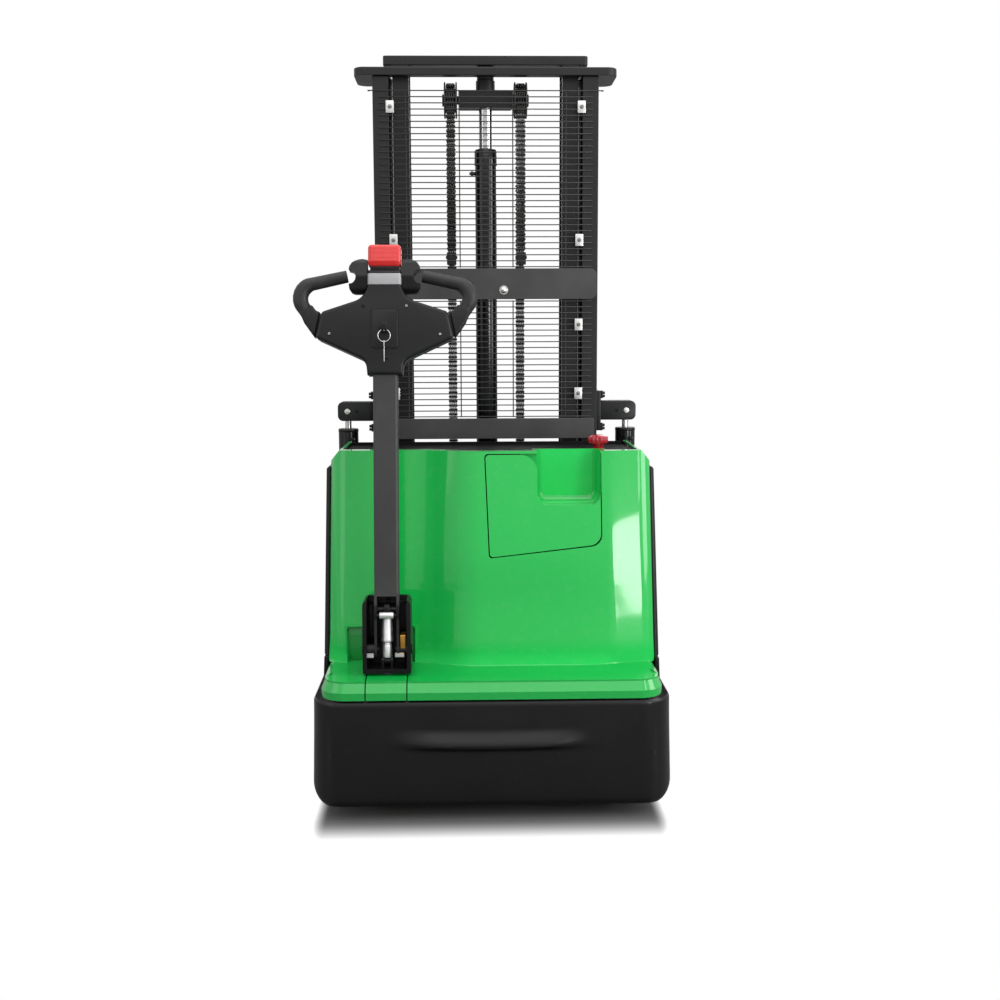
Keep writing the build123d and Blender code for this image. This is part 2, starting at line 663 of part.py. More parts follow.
def frame_side(side):
    """One side plate beside the mast, with two guide blocks for the rail and the barrel's seat and saddle."""
    inner = side * FRAME_X
    outer = side * (FRAME_X + PLATE)
    front = RAIL_Y1 - FRAME_FRONT
    outline = [(HOOD_FRONT, FRAME_LOW), (front, FRAME_LOW + FRAME_SLOPE), (front, FRAME_TOP),
               (HOOD_FRONT, FRAME_TOP)]
    plate = side_profile(outline, inner, outer)
    depth, height = GUIDE
    for level in (FRAME_LOW + GUIDE_LOW, FRAME_TOP - SADDLE_DROP):
        plate += block(side * (RAIL_X1 + GAP), inner, LIFT_Y - depth / 2, LIFT_Y + depth / 2,
                       level, level + height)
    seat_y = LIFT_BARREL_D / 2
    plate += block(outer, side * (LIFT_X + seat_y - 2), LIFT_Y - seat_y, LIFT_Y + seat_y,
                   BARREL_LOW - BARREL_SEAT, BARREL_LOW)
    saddle = block(outer, side * LIFT_X, LIFT_Y - height / 2, LIFT_Y + height / 2,
                   FRAME_TOP - SADDLE_DROP, FRAME_TOP - SADDLE_DROP + height)
    return plate + saddle - rod_z(BARREL_LOW, FRAME_TOP, side * LIFT_X, LIFT_Y, LIFT_BARREL_D)


def lift_barrel(side):
    """Barrel of one initial-lift cylinder, bored for its rod, with a small port boss."""
    x = side * LIFT_X
    barrel = rod_z(BARREL_LOW, LIFT_BARREL_TOP, x, LIFT_Y, LIFT_BARREL_D)
    barrel = chamfer(barrel.edges().group_by(Axis.Z)[-1], 3)
    barrel -= rod_z(BARREL_LOW + LIFT_BARREL_END, LIFT_BARREL_TOP - LIFT_BARREL_END, x, LIFT_Y, LIFT_BORE_D)
    barrel -= rod_z(LIFT_BARREL_TOP - LIFT_BARREL_END - 1, LIFT_BARREL_TOP + 1, x, LIFT_Y,
                    LIFT_ROD_D + 2 * RUN)
    port = rod_y(LIFT_Y - LIFT_BARREL_D / 2 - PORT_OUT, LIFT_Y - LIFT_BARREL_D / 2 + PORT_OUT,
                 x + PORT_X, LIFT_BARREL_TOP - LIFT_BARREL_END, PORT_D)
    return barrel + port


def inner_units():
    """Battery and hydraulic pump unit on the frame's floor."""
    near, far = CASTER_Y + UNITS_AHEAD, HOOD_FRONT - UNITS_BEHIND
    middle = (near + far) / 2
    lid_z = CHASSIS_FLOOR + BATTERY_HEIGHT
    case = block(-BATTERY_LEFT, BATTERY_RIGHT, near, far, CHASSIS_FLOOR, lid_z)
    lid = block(-BATTERY_LEFT + LID_INSET, BATTERY_RIGHT - LID_INSET, near + LID_INSET, far - LID_INSET,
                lid_z, lid_z + BATTERY_LID)
    pack = fillet(case.edges().filter_by(Axis.Z), 10) + fillet(lid.edges().group_by(Axis.Z)[-1], 6)
    for x in (TERMINAL_IN - BATTERY_LEFT, BATTERY_RIGHT - TERMINAL_IN):
        pack += rod_z(lid_z + BATTERY_LID, lid_z + 2 * BATTERY_LID, x, middle, 1.5 * BATTERY_LID)
    keep("battery", pack)
    tank_z = CHASSIS_FLOOR + TANK_HEIGHT
    tank = block(PUMP_X - PUMP_WIDTH / 2, PUMP_X + PUMP_WIDTH / 2, near, far, CHASSIS_FLOOR, tank_z)
    tank = fillet(tank.edges().filter_by(Axis.Z), 20)
    tank += rod_z(tank_z, tank_z + PUMP_FLANGE, PUMP_X, middle, PUMP_FLANGE_D)
    motor = rod_z(tank_z + PUMP_FLANGE, CHASSIS_FLOOR + PUMP_HEIGHT, PUMP_X, middle, PUMP_MOTOR_D)
    tank += fillet(motor.edges().group_by(Axis.Z)[-1], 10)
    keep("pump_unit", tank)


# Drive unit, caster, bracket and tiller

def drive_unit():
    """Gear case with its wheel axle, steering motor column, drive wheel hub and tyre."""
    half = DRIVE_WHEEL_W / 2
    axle_y = STEER_Y + DRIVE_TRAIL
    case_x = STEER_X - half - GEAR_CASE - 4
    top = DRIVE_WHEEL_D + 4
    case = rod_x(case_x, case_x + GEAR_CASE, axle_y, DRIVE_Z, DRIVE_HUB_D * 0.8)
    case += block(case_x, case_x + GEAR_CASE, axle_y - GEAR_NECK / 2, axle_y + GEAR_NECK / 2,
                  DRIVE_Z, top + GEAR_PLATE)
    case = fillet(case.faces().sort_by(Axis.X)[0].edges(), 5)
    case += rod_z(top, top + GEAR_PLATE, STEER_X, STEER_Y, MOTOR_D)
    case += rod_x(case_x + GEAR_CASE - 1, STEER_X + half + AXLE_HEAD + 2, axle_y, DRIVE_Z,
                  AXLE_SLEEVE_D)
    case += rod_x(STEER_X + half + 2, STEER_X + half + AXLE_HEAD + 2, axle_y, DRIVE_Z, AXLE_NUT_D)
    keep("drive_housing", case)
    motor = rod_z(top + GEAR_PLATE, LEDGE_Z - GEAR_PLATE, STEER_X, STEER_Y, MOTOR_D)
    motor = chamfer(motor.edges().group_by(Axis.Z)[-1], 8)
    motor += rod_z(LEDGE_Z - GEAR_PLATE - 1, LEDGE_Z + 2, STEER_X, STEER_Y, COLUMN_D)
    keep("drive_motor", motor)
    wheel = rod_x(STEER_X - half, STEER_X + half, axle_y, DRIVE_Z, DRIVE_HUB_D)
    for side in BOTH_SIDES:
        dish = rod_x(STEER_X + side * half, STEER_X + side * (half - HUB_DISH), axle_y, DRIVE_Z,
                     DRIVE_HUB_D - 2 * HUB_RIM)
        wheel -= dish - rod_x(STEER_X - half, STEER_X + half, axle_y, DRIVE_Z, HUB_BOSS_D)
    wheel -= rod_x(STEER_X - half, STEER_X + half, axle_y, DRIVE_Z, AXLE_SLEEVE_D + 2 * RUN)
    keep("drive_hub", wheel)
    tyre = rod_x(STEER_X - half, STEER_X + half, axle_y, DRIVE_Z, DRIVE_WHEEL_D)
    tyre = fillet(tyre.edges(), 7)
    keep("drive_tyre", tyre - rod_x(STEER_X - half, STEER_X + half, axle_y, DRIVE_Z, DRIVE_HUB_D))


def caster():
    """Swivel caster under the right of the frame: fork with its stem and axle, and twin wheels."""
    axle_y = CASTER_Y + CASTER_TRAIL
    axle_z = CASTER_WHEEL_D / 2
    plate_top = CHASSIS_FLOOR - PLATE - GAP
    plate_z = plate_top - CASTER_PLATE
    fork = rod_z(plate_z, plate_top, CASTER_X, CASTER_Y, CASTER_PLATE_D)
    fork += rod_z(plate_top - 1, CHASSIS_FLOOR + 3 * PLATE, CASTER_X, CASTER_Y, CASTER_STEM_D)
    outline = [(CASTER_Y - 40, plate_z + 8), (CASTER_Y + 40, plate_z + 8), (axle_y + 22, axle_z + 12),
               (axle_y + 12, axle_z - 22), (axle_y - 12, axle_z - 22), (axle_y - 26, axle_z + 20)]
    fork += side_profile(outline, CASTER_X - CASTER_WEB / 2, CASTER_X + CASTER_WEB / 2)
    reach = CASTER_SPLIT / 2 + CASTER_WHEEL_W
    end = reach + AXLE_HEAD
    fork += rod_x(CASTER_X - end, CASTER_X + end, axle_y, axle_z, AXLE_D)
    for side in BOTH_SIDES:
        fork += rod_x(CASTER_X + side * (reach + 1), CASTER_X + side * end, axle_y, axle_z, 1.6 * AXLE_D)
    keep("caster_fork", fork)

    def wheel(side):
        near = CASTER_X + side * CASTER_SPLIT / 2
        far = CASTER_X + side * reach
        disc = fillet(rod_x(near, far, axle_y, axle_z, CASTER_WHEEL_D).edges(), 8)
        rim = rod_x(far, far - side * CASTER_DISH, axle_y, axle_z, CASTER_WHEEL_D - 2 * CASTER_RIM)
        disc -= rim - rod_x(near, far, axle_y, axle_z, CASTER_BOSS_D)
        return disc - rod_x(near, far, axle_y, axle_z, AXLE_D + 2 * RUN)

    keep("caster_wheels", *both_sides(wheel))


def tiller_bracket():
    """Upright U bracket on the steering column, open to the operator, with the pivot pin."""
    half = BRACKET_WIDTH / 2
    back = STEER_Y - BRACKET_BEHIND
    front = back + BRACKET_DEPTH
    foot = LEDGE_Z + 2
    above, behind = BRACKET_SLOPE
    outline = [(back, foot), (front, foot), (front, BRACKET_TOP), (PIVOT_Y - behind, BRACKET_TOP),
               (back, PIVOT_Z + above)]
    bracket = side_profile(outline, STEER_X - half, STEER_X + half)
    bracket = fillet(bracket.edges().filter_by(Axis.Y).group_by(Axis.Z)[-1], BRACKET_ROUND)
    bracket -= block(STEER_X - half + BRACKET_WALL, STEER_X + half - BRACKET_WALL, back - 1,
                     front - BRACKET_WALL, foot + BRACKET_WALL, BRACKET_TOP + 1)
    for side in BOTH_SIDES:
        near, far = STEER_X + side * SPRING_EYE_W / 2, STEER_X + side * SPRING_SEAT
        bracket += rod_x(near, far, SPRING_FOOT_Y, SPRING_FOOT_Z, SPRING_LUG_D)
        bracket += block(near, far, SPRING_FOOT_Y - SPRING_LUG_D / 2, SPRING_FOOT_Y + SPRING_LUG_D / 2,
                         foot + 2, SPRING_FOOT_Z)
    bracket += rod_x(STEER_X - SPRING_SEAT, STEER_X + SPRING_SEAT, SPRING_FOOT_Y, SPRING_FOOT_Z, SPRING_PIN_D)
    bracket -= rod_x(STEER_X - half - 1, STEER_X + half + 1, PIVOT_Y, PIVOT_Z, PIVOT_PIN_D)
    keep("tiller_bracket", bracket)

    def pin(side):
        head = rod_x(STEER_X + side * half, STEER_X + side * (half + 3), PIVOT_Y, PIVOT_Z, PIVOT_PIN_D * 1.5)
        shaft = rod_x(STEER_X + side * PIVOT_INNER, STEER_X + side * (half + 1),
                      PIVOT_Y, PIVOT_Z, PIVOT_PIN_D)
        return head + shaft

    keep("pivot_pins", *both_sides(pin))


def on_arm(shape):
    """Place a shape drawn along +Z from the tiller pivot onto the leaning tiller arm."""
    return Pos(STEER_X, PIVOT_Y, PIVOT_Z) * Rot(-ARM_LEAN, 0, 0) * shape


def tiller_arm():
    """Square tube with a forked foot on the pivot pin and the gas spring's cross pin."""
    half = ARM_WIDTH / 2
    tube = block(-half, half, -ARM_DEPTH / 2, ARM_DEPTH / 2, ARM_FOOT, ARM_LENGTH)
    tube = fillet(tube.edges().filter_by(Axis.Z), 7)
    tube -= block(-half + ARM_WALL, half - ARM_WALL, -ARM_DEPTH / 2 + ARM_WALL, ARM_DEPTH / 2 - ARM_WALL,
                  ARM_FOOT + 10, ARM_LENGTH + 1)
    for side in BOTH_SIDES:
        plate = block(side * half, side * (half - ARM_PLATE), -ARM_DEPTH / 2, ARM_DEPTH / 2, 0, ARM_FOOT + 8)
        plate += rod_x(side * half, side * (half - ARM_PLATE), 0, 0, ARM_DEPTH)
        plate += rod_x(side * half, side * (BRACKET_WIDTH / 2 - BRACKET_WALL - GAP), 0, 0, PIVOT_PIN_D * 1.7)
        tube += plate
    tube += rod_x(-half + 1, half - 1, 0, SPRING_EYE, SPRING_ROD_D)
    tube -= rod_x(-BRACKET_WIDTH, BRACKET_WIDTH, 0, 0, PIVOT_PIN_D + 2 * RUN)
    keep("tiller_arm", on_arm(tube))


def gas_spring():
    """Gas spring between the bracket's foot and the arm's cross pin: a rod in a tube with a roomy eye."""
    reach = math.hypot(SPRING_TOP_Y - SPRING_FOOT_Y, SPRING_TOP_Z - SPRING_FOOT_Z)
    turn = math.degrees(math.atan2(SPRING_TOP_Y - SPRING_FOOT_Y, SPRING_TOP_Z - SPRING_FOOT_Z))
    place = Pos(STEER_X, SPRING_FOOT_Y, SPRING_FOOT_Z) * Rot(-turn, 0, 0)
    width = SPRING_EYE_W / 2 - GAP
    boss = SPRING_LUG_D / 2 + 1
    rod = rod_x(-width, width, 0, 0, 2 * boss) + rod_z(boss / 2, 3 * boss, 0, 0, 1.2 * SPRING_ROD_D)
    rod += rod_z(2 * boss, reach - SPRING_TUBE_LOW, 0, 0, SPRING_ROD_D)
    rod -= rod_x(-2 * width, 2 * width, 0, 0, SPRING_PIN_D + 2 * RUN)
    keep("spring_rod", place * rod)
    eye = SPRING_ROD_D + 2 * SPRING_PLAY
    tube = rod_z(SPRING_TUBE_LOW, reach - eye / 2 - 3, 0, 0, SPRING_TUBE_D)
    tube = fillet(tube.edges(), 2)
    tube += rod_x(-width, width, 0, reach, eye + SPRING_PLAY)
    tube -= rod_x(-2 * width, 2 * width, 0, reach, eye)
    tube -= rod_z(SPRING_TUBE_LOW - 1, reach - eye / 2 - SPRING_PLAY + 1, 0, 0, SPRING_ROD_D + 2 * RUN)
    keep("spring_tube", place * tube)


def head_outline():
    """Front outline of the tiller head: a column with a wing sloping up to each side, as (x, along)."""
    flare, rise = HEAD_FLARE
    right = [(HEAD_COLUMN + HEAD_FOOT, 0), (HEAD_COLUMN + flare, rise), (WING_X, WING_LOW),
             (WING_X - WING_SLANT, WING_HIGH), (HEAD_COLUMN, HEAD_NECK), (HEAD_COLUMN, HEAD_SHOULDER)]
    left = [(-x, along) for x, along in reversed(right)]
    return right + left


def tiller_head():
    """Tiller head: two shells, loop grips, trim band, throttle knobs, belly button, key and rockers."""
    deep = HEAD_THICK / 2
    face = make_face(Polyline(*head_outline(), close=True))
    face = fillet(face.vertices().filter_by(lambda v: abs(v.X) > 2 * HEAD_COLUMN), WING_SLANT - 2)
    body = extrude(Plane.XZ.offset(-deep) * face, HEAD_THICK)
    body = fillet(body.edges().filter_by(Plane.XZ), HEAD_ROUND)
    panel = Pos(0, KEY_PANEL_UP) * RectangleRounded(*KEY_PANEL)
    body += extrude(Plane.XZ.offset(deep - 1) * panel, 5)
    body = Pos(0, 0, ARM_LENGTH) * body
    throttle_z = ARM_LENGTH + THROTTLE_UP
    body -= rod_x(-WING_X, WING_X, 0, throttle_z, THROTTLE_SHAFT_D + 2 * RUN)
    top = ARM_LENGTH + HEAD_SHOULDER
    wide, thick = HEAD_COLUMN - BELLY_WALL, deep - BELLY_LIP
    body -= block(-wide, wide, -thick, thick, top - BELLY_SOCKET, top + 1)
    key_z = ARM_LENGTH + KEY_UP
    body -= rod_y(-deep - KEY_SEAT, -deep + KEY_SEAT, 0, key_z, KEY_D + 2 * RUN)
    for side in BOTH_SIDES:
        body -= rod_x(side * ROCKER_MID, side * (ROCKER_MID + ROCKER_W + 2 * GAP), ROCKER_IN,
                      ARM_LENGTH + ROCKER_UP, ROCKER_D + 2 * GAP)
    far = block(-HEAD_WIDTH, HEAD_WIDTH, 0, HEAD_WIDTH, ARM_LENGTH - 1, ARM_LENGTH + HEAD_WIDTH)
    keep("head_lower_shell", on_arm(body - far))
    keep("head_upper_shell", on_arm(body & far))
    for side, name in ((-1, "grip_left"), (1, "grip_right")):
        keep(name, on_arm(Pos(0, 0, ARM_LENGTH) * grip(side) - body))
    knobs = rod_x(-KNOB_X1, KNOB_X1, 0, throttle_z, THROTTLE_SHAFT_D)
    for side in BOTH_SIDES:
        knobs += Pos(0, 0, throttle_z) * throttle_knob(side)
    keep("throttle_knobs", on_arm(knobs))
    low = top - BELLY_SOCKET + BELLY_TRAVEL + GAP
    button = block(GAP - wide, wide - GAP, GAP - thick, thick - GAP, low, top + BELLY_SOCKET)
    cap = block(-HEAD_COLUMN, HEAD_COLUMN, -deep + BELLY_LIP / 2, deep - BELLY_LIP / 2,
                top + BELLY_TRAVEL + GAP, ARM_LENGTH + HEAD_HEIGHT)
    cap = fillet(cap.edges().filter_by(Axis.Y).group_by(Axis.Z)[-1], 14)
    button += fillet(cap.edges().group_by(Axis.Z)[-1], 6)
    keep("belly_button", on_arm(button))
    key_barrel = rod_y(2 - deep - KEY_SEAT, -1 - deep + KEY_SEAT, 0, key_z, KEY_D)
    flat, tall = KEY_BOW
    bow = block(-flat / 2, flat / 2, -deep - KEY_BOW_OUT, 3 - deep - KEY_SEAT,
                key_z - tall / 2, key_z + tall / 2)
    ring = Pos(0, -deep - KEY_RING_OUT, key_z - KEY_RING[0]) * Rot(0, 90, 0) * Torus(*KEY_RING)
    keep("key", on_arm(key_barrel + fillet(bow.edges().filter_by(Axis.X), 4) + ring))
    for side, name in ((-1, "lift_rocker"), (1, "initial_lift_rocker")):
        middle = ARM_LENGTH + ROCKER_UP
        near = side * (ROCKER_MID + GAP)
        drum = rod_x(near, near + side * ROCKER_W, ROCKER_IN, middle, ROCKER_D)
        cut, height = ROCKER_FLAT
        thumb = block(-ROCKER_D, ROCKER_D, ROCKER_IN + ROCKER_D / 2 - cut, ROCKER_IN + ROCKER_D,
                      middle - height / 2, middle + height / 2)
        keep(name, on_arm(drum - thumb))


def grip(side):
    """Loop grip: a round tube out from the throttle knob, round the corner and back to the wing's tip."""
    start = (side * (KNOB_X1 + GRIP_CLEAR), 0, GRIP_UP)
    corner = (side * (HEAD_WIDTH / 2 + GRIP_BEND_OUT), 0, GRIP_UP - GRIP_DROP)
    end = (side * (WING_X - GRIP_D / 2 - 2), 0, WING_LOW + 3)
    path = FilletPolyline(start, corner, end, radius=GRIP_BEND)
    mouth = Plane(origin=path @ 0, z_dir=path % 0)
    return sweep(mouth * Circle(GRIP_D / 2), path)


def throttle_knob(side):
    """Butterfly throttle knob: a barrel round the shaft with a thumb paddle, hollowed on its face."""
    inner = side * (HEAD_COLUMN + 2)
    outer = side * KNOB_X1
    knob = side_profile(KNOB_OUTLINE, inner, outer)
    knob = fillet(knob.edges().filter_by(Axis.X), 8)
    behind, above, radius = THUMB_HOLLOW
    hollow = Pos((inner + outer) / 2, behind, above) * Rot(0, 90, 0) * Cylinder(radius, KNOB_X1)
    return knob - hollow


chassis_frame()
keep("lift_barrels", *both_sides(lift_barrel))
inner_units()
drive_unit()
caster()
tiller_bracket()
tiller_arm()
gas_spring()
tiller_head()


# Mast, mesh guard and main lift

def outer_rail(side):
    """Outer mast rail: a channel open towards the inner mast."""
    rail = block(side * RAIL_X0, side * RAIL_X1, RAIL_Y0, RAIL_Y1, FOOT_TOP, RAIL_TOP)
    return rail - block(side * (RAIL_X0 - 1), side * (RAIL_X1 - RAIL_WALL), RAIL_Y0 + RAIL_WALL,
                        RAIL_Y1 - RAIL_WALL, FOOT_TOP - 1, RAIL_TOP + 1)


def inner_rail(side):
    """Inner mast rail: an I section with a stub roller that runs in the outer rail."""
    rail = block(side * INNER_X0, side * INNER_X1, INNER_Y0, INNER_Y1, INNER_LOW, INNER_TOP)
    pocket_y = (INNER_Y0 + RAIL_WALL, INNER_Y1 - RAIL_WALL)
    half_web = RAIL_WALL / 2
    for near, far in ((INNER_X0 - 1, INNER_WEB - half_web), (INNER_WEB + half_web, INNER_X1 + 1)):
        rail -= block(side * near, side * far, *pocket_y, INNER_LOW - 1, INNER_TOP + 1)
    roller_d = RAIL_DEPTH - 2 * RAIL_WALL - ROLLER_PLAY
    roller_z = INNER_LOW + ROLLER_UP
    rail += rod_x(side * INNER_WEB, side * (RAIL_X0 + 6), LIFT_Y, roller_z, ROLLER_STUB_D)
    return rail + rod_x(side * (RAIL_X0 + 5), side * (RAIL_X1 - RAIL_WALL - 2), LIFT_Y, roller_z, roller_d)


def mast_ties():
    """Top tie of the outer mast, foot under both rails, and the bar that joins the inner rails."""
    half = TIE_WIDTH / 2
    rear = RAIL_Y0 - TIE_STRIP / 2
    tie = block(-half, half, rear, rear + TIE_DEPTH, RAIL_TOP, RAIL_TOP + TIE_THICK)
    tie = fillet(tie.edges().filter_by(Axis.Z), TIE_CORNER)
    tie -= block(-INNER_X1 - TIE_ROOM, INNER_X1 + TIE_ROOM, INNER_Y0 - 2, RAIL_Y1 + TIE_DEPTH,
                 RAIL_TOP - 1, RAIL_TOP + TIE_THICK + 1)
    keep("mast_tie", chamfer(tie.edges().group_by(Axis.Z)[-1], 2))
    bar = block(-TOP_BAR_WIDTH / 2, TOP_BAR_WIDTH / 2, INNER_Y0, INNER_Y1, INNER_TOP, MAST_HEIGHT)
    keep("inner_top", fillet(bar.edges().filter_by(Axis.Z), 10))
    foot = block(-RAIL_X1, RAIL_X1, RAIL_Y0, INNER_Y1, LEG_TOP, FOOT_TOP)
    keep("mast_foot", foot)


def guard():
    """Mesh guard behind the mast: two wired panels, bars across the rails and clips with screws."""
    face = RAIL_Y0 - WIRE
    bar_y = (RAIL_Y0 - GUARD_BAR_OUT, RAIL_Y0 - GUARD_BAR_OUT + GUARD_BAR_THICK)
    reach = RAIL_X1 - GUARD_BAR_IN
    lug_width, lug_height, lug_deep = ANCHOR_LUG
    bar = block(-reach, reach, *bar_y, GUARD_BAR_LOW, GUARD_BAR_HIGH)
    bar = fillet(bar.edges().filter_by(Axis.Y), GUARD_CORNER)
    for side in BOTH_SIDES:
        bar += block(side * reach, side * (reach - GUARD_BAR_THICK), bar_y[0], RAIL_Y0,
                     GUARD_BAR_LOW + GUARD_CORNER, GUARD_BAR_HIGH - GUARD_CORNER)
        bar += block(side * CHAIN_X - lug_width / 2, side * CHAIN_X + lug_width / 2, bar_y[1] - 1,
                     CHAIN_REAR_Y + lug_deep, ANCHOR_LUG_Z, ANCHOR_LUG_Z + lug_height)
        bar -= rod_z(ANCHOR_LUG_Z - 1, ANCHOR_LUG_Z + lug_height + 1, side * CHAIN_X, CHAIN_REAR_Y,
                     ANCHOR_BOLT_D)
    keep("guard_bar", bar)
    half = RAIL_X1 - CROSSBAR_IN
    cross = block(-half, half, RAIL_Y0 - CROSSBAR_THICK, RAIL_Y0, CROSSBAR_LOW, CROSSBAR_HIGH)
    keep("lower_crossbar", fillet(cross.edges().filter_by(Axis.Y), 6))
    panels = [mesh_panel(CROSSBAR_HIGH + MESH_CLEAR, GUARD_BAR_LOW - MESH_CLEAR),
              mesh_panel(GUARD_BAR_HIGH + MESH_CLEAR, MESH_TOP)]
    keep("mesh_guard", *panels)
    clips = []
    for side in BOTH_SIDES:
        for level in CLIP_LEVELS:
            x = side * (RAIL_X0 + CLIP_IN)
            clip = block(x - CLIP_WIDTH / 2, x + CLIP_WIDTH / 2, face - CLIP_THICK, face,
                         level - CLIP_HEIGHT / 2, level + CLIP_HEIGHT / 2)
            clips.append(clip + rod_y(face - 2 * CLIP_THICK, face - 1, x, level, CLIP_SCREW_D))
    keep("mesh_clips", *clips)


def mesh_panel(low, high):
    """One panel of square-wire mesh, cut from a sheet as thick as the wire."""
    rows = round((high - low) / WIRE_PITCH)
    pitch = (high - low) / rows
    half = MESH_WIDTH / 2
    lines = (-half, -MESH_INNER * 1.5, -MESH_INNER / 2, MESH_INNER / 2, MESH_INNER * 1.5, half)
    sheet = Pos(0, (low + high) / 2) * Rectangle(MESH_WIDTH + WIRE, high - low + WIRE)
    holes = []
    for left, right in zip(lines, lines[1:]):
        for row in range(rows):
            middle = Pos((left + right) / 2, low + (row + 0.5) * pitch)
            holes.append(middle * Rectangle(right - left - WIRE, pitch - WIRE))
    return extrude(Plane.XZ.offset(-RAIL_Y0) * (sheet - holes), WIRE)


def main_lift():
    """Central lift cylinder, its rod with the pulley crosshead, and the two chain pulleys."""
    barrel = rod_z(FOOT_TOP, CYLINDER_TOP, 0, MAST_Y, CYLINDER_D)
    barrel = chamfer(barrel.edges().group_by(Axis.Z)[-1], 4)
    barrel -= rod_z(FOOT_TOP + CYLINDER_BASE, CYLINDER_TOP - CYLINDER_END, 0, MAST_Y, CYLINDER_BORE)
    barrel -= rod_z(CYLINDER_TOP - CYLINDER_END - 1, CYLINDER_TOP + 1, 0, MAST_Y, ROD_D + 2 * RUN)
    barrel += rod_x(-CYLINDER_D / 2 - BLEED_OUT, -CYLINDER_D / 2 + 2, MAST_Y, CYLINDER_TOP - BLEED_DROP,
                    BLEED_D)
    keep("lift_cylinder", barrel)
    beam_low = PULLEY_Z - CROSSHEAD_HEIGHT / 2
    beam_top = PULLEY_Z + CROSSHEAD_HEIGHT / 2
    piston_low = FOOT_TOP + PISTON_UP
    rod = rod_z(piston_low + PISTON - 1, beam_top, 0, MAST_Y, ROD_D)
    rod += rod_z(piston_low, piston_low + PISTON, 0, MAST_Y, CYLINDER_BORE - 2 * RUN)
    rod += rod_z(beam_top, INNER_TOP, 0, MAST_Y, ROD_CAP_D)
    keep("piston_rod", rod)
    half = CROSSHEAD_WIDTH / 2
    beam = block(-half, half, MAST_Y - CROSSHEAD_DEPTH / 2, MAST_Y + CROSSHEAD_DEPTH / 2, beam_low, beam_top)
    beam = fillet(beam.edges().filter_by(Axis.Y), 6)
    beam -= rod_z(beam_low - 1, beam_top + 1, 0, MAST_Y, ROD_D)
    near = CHAIN_X - PULLEY_W / 2
    far = CHAIN_X + PULLEY_W / 2
    for side in BOTH_SIDES:
        beam += rod_x(side * (half - AXLE_END), side * (far + AXLE_END - 1), MAST_Y, PULLEY_Z, PULLEY_AXLE_D)
        beam += rod_x(side * (far + 1), side * (far + AXLE_END), MAST_Y, PULLEY_Z, PULLEY_AXLE_D * 1.5)
    keep("crosshead", beam)
    for side, name in ((-1, "pulley_left"), (1, "pulley_right")):
        pulley = rod_x(side * near, side * far, MAST_Y, PULLEY_Z, 2 * CHAIN_R - CHAIN_PLATE - 1)
        for edge in (near, far - PULLEY_FLANGE):
            pulley += rod_x(side * edge, side * (edge + PULLEY_FLANGE), MAST_Y, PULLEY_Z, PULLEY_D)
        keep(name, pulley - rod_x(side * near, side * far, MAST_Y, PULLEY_Z, PULLEY_AXLE_D + 2 * RUN))


def chain_run(side, y, low, high):
    """Straight run of leaf chain, narrower between the outer plates."""
    x = side * CHAIN_X
    steps = 2 * round((high - low) / CHAIN_PITCH)
    rise = (high - low) / steps
    edge = []
    for step in range(steps):
        half = CHAIN_W / 2 - (step % 2) * CHAIN_STEP
        edge += [(half, low + step * rise), (half, low + (step + 1) * rise)]
    outline = [(x + half, z) for half, z in edge] + [(x - half, z) for half, z in reversed(edge)]
    return front_profile(outline, y - CHAIN_PLATE / 2, y + CHAIN_PLATE / 2)


def chains():
    """Leaf chains from the anchors over the pulleys to the carriage, with anchor bolts and clevises."""
    def anchor(side):
        x = side * CHAIN_X
        depth, height = ANCHOR_CLEVIS
        half = CHAIN_W / 2
        bolt = rod_z(ANCHOR_LUG_Z - ANCHOR_THREAD, ANCHOR_Z - height + 2, x, CHAIN_REAR_Y, ANCHOR_BOLT_D)
        bolt += rod_z(ANCHOR_LUG_Z - ANCHOR_NUT, ANCHOR_LUG_Z, x, CHAIN_REAR_Y, ANCHOR_NUT_D)
        bolt += block(x - half, x + half, CHAIN_REAR_Y - depth / 2, CHAIN_REAR_Y + depth / 2,
                      ANCHOR_Z - height, ANCHOR_Z)
        half += ANCHOR_PIN_OUT
        return bolt + rod_x(x - half, x + half, CHAIN_REAR_Y, ANCHOR_Z - ANCHOR_PIN_DROP, ANCHOR_PIN_D)

    def wrap(side):
        near = side * (CHAIN_X - CHAIN_W / 2)
        far = side * (CHAIN_X + CHAIN_W / 2)
        ring = rod_x(near, far, MAST_Y, PULLEY_Z, 2 * CHAIN_R + CHAIN_PLATE)
        ring -= rod_x(near, far, MAST_Y, PULLEY_Z, 2 * CHAIN_R - CHAIN_PLATE)
        return ring & block(near, far, MAST_Y - PULLEY_D, MAST_Y + PULLEY_D, PULLEY_Z, PULLEY_Z + PULLEY_D)

    keep("chain_anchors", *both_sides(anchor))
    keep("chain_wraps", *both_sides(wrap))
    keep("chains_rear", *both_sides(lambda side: chain_run(side, CHAIN_REAR_Y, ANCHOR_Z, PULLEY_Z)))
    keep("chains_front", *both_sides(lambda side: chain_run(side, CHAIN_FRONT_Y, CHAIN_LUG_Z, PULLEY_Z)))


# Initial lift, legs and load wheels

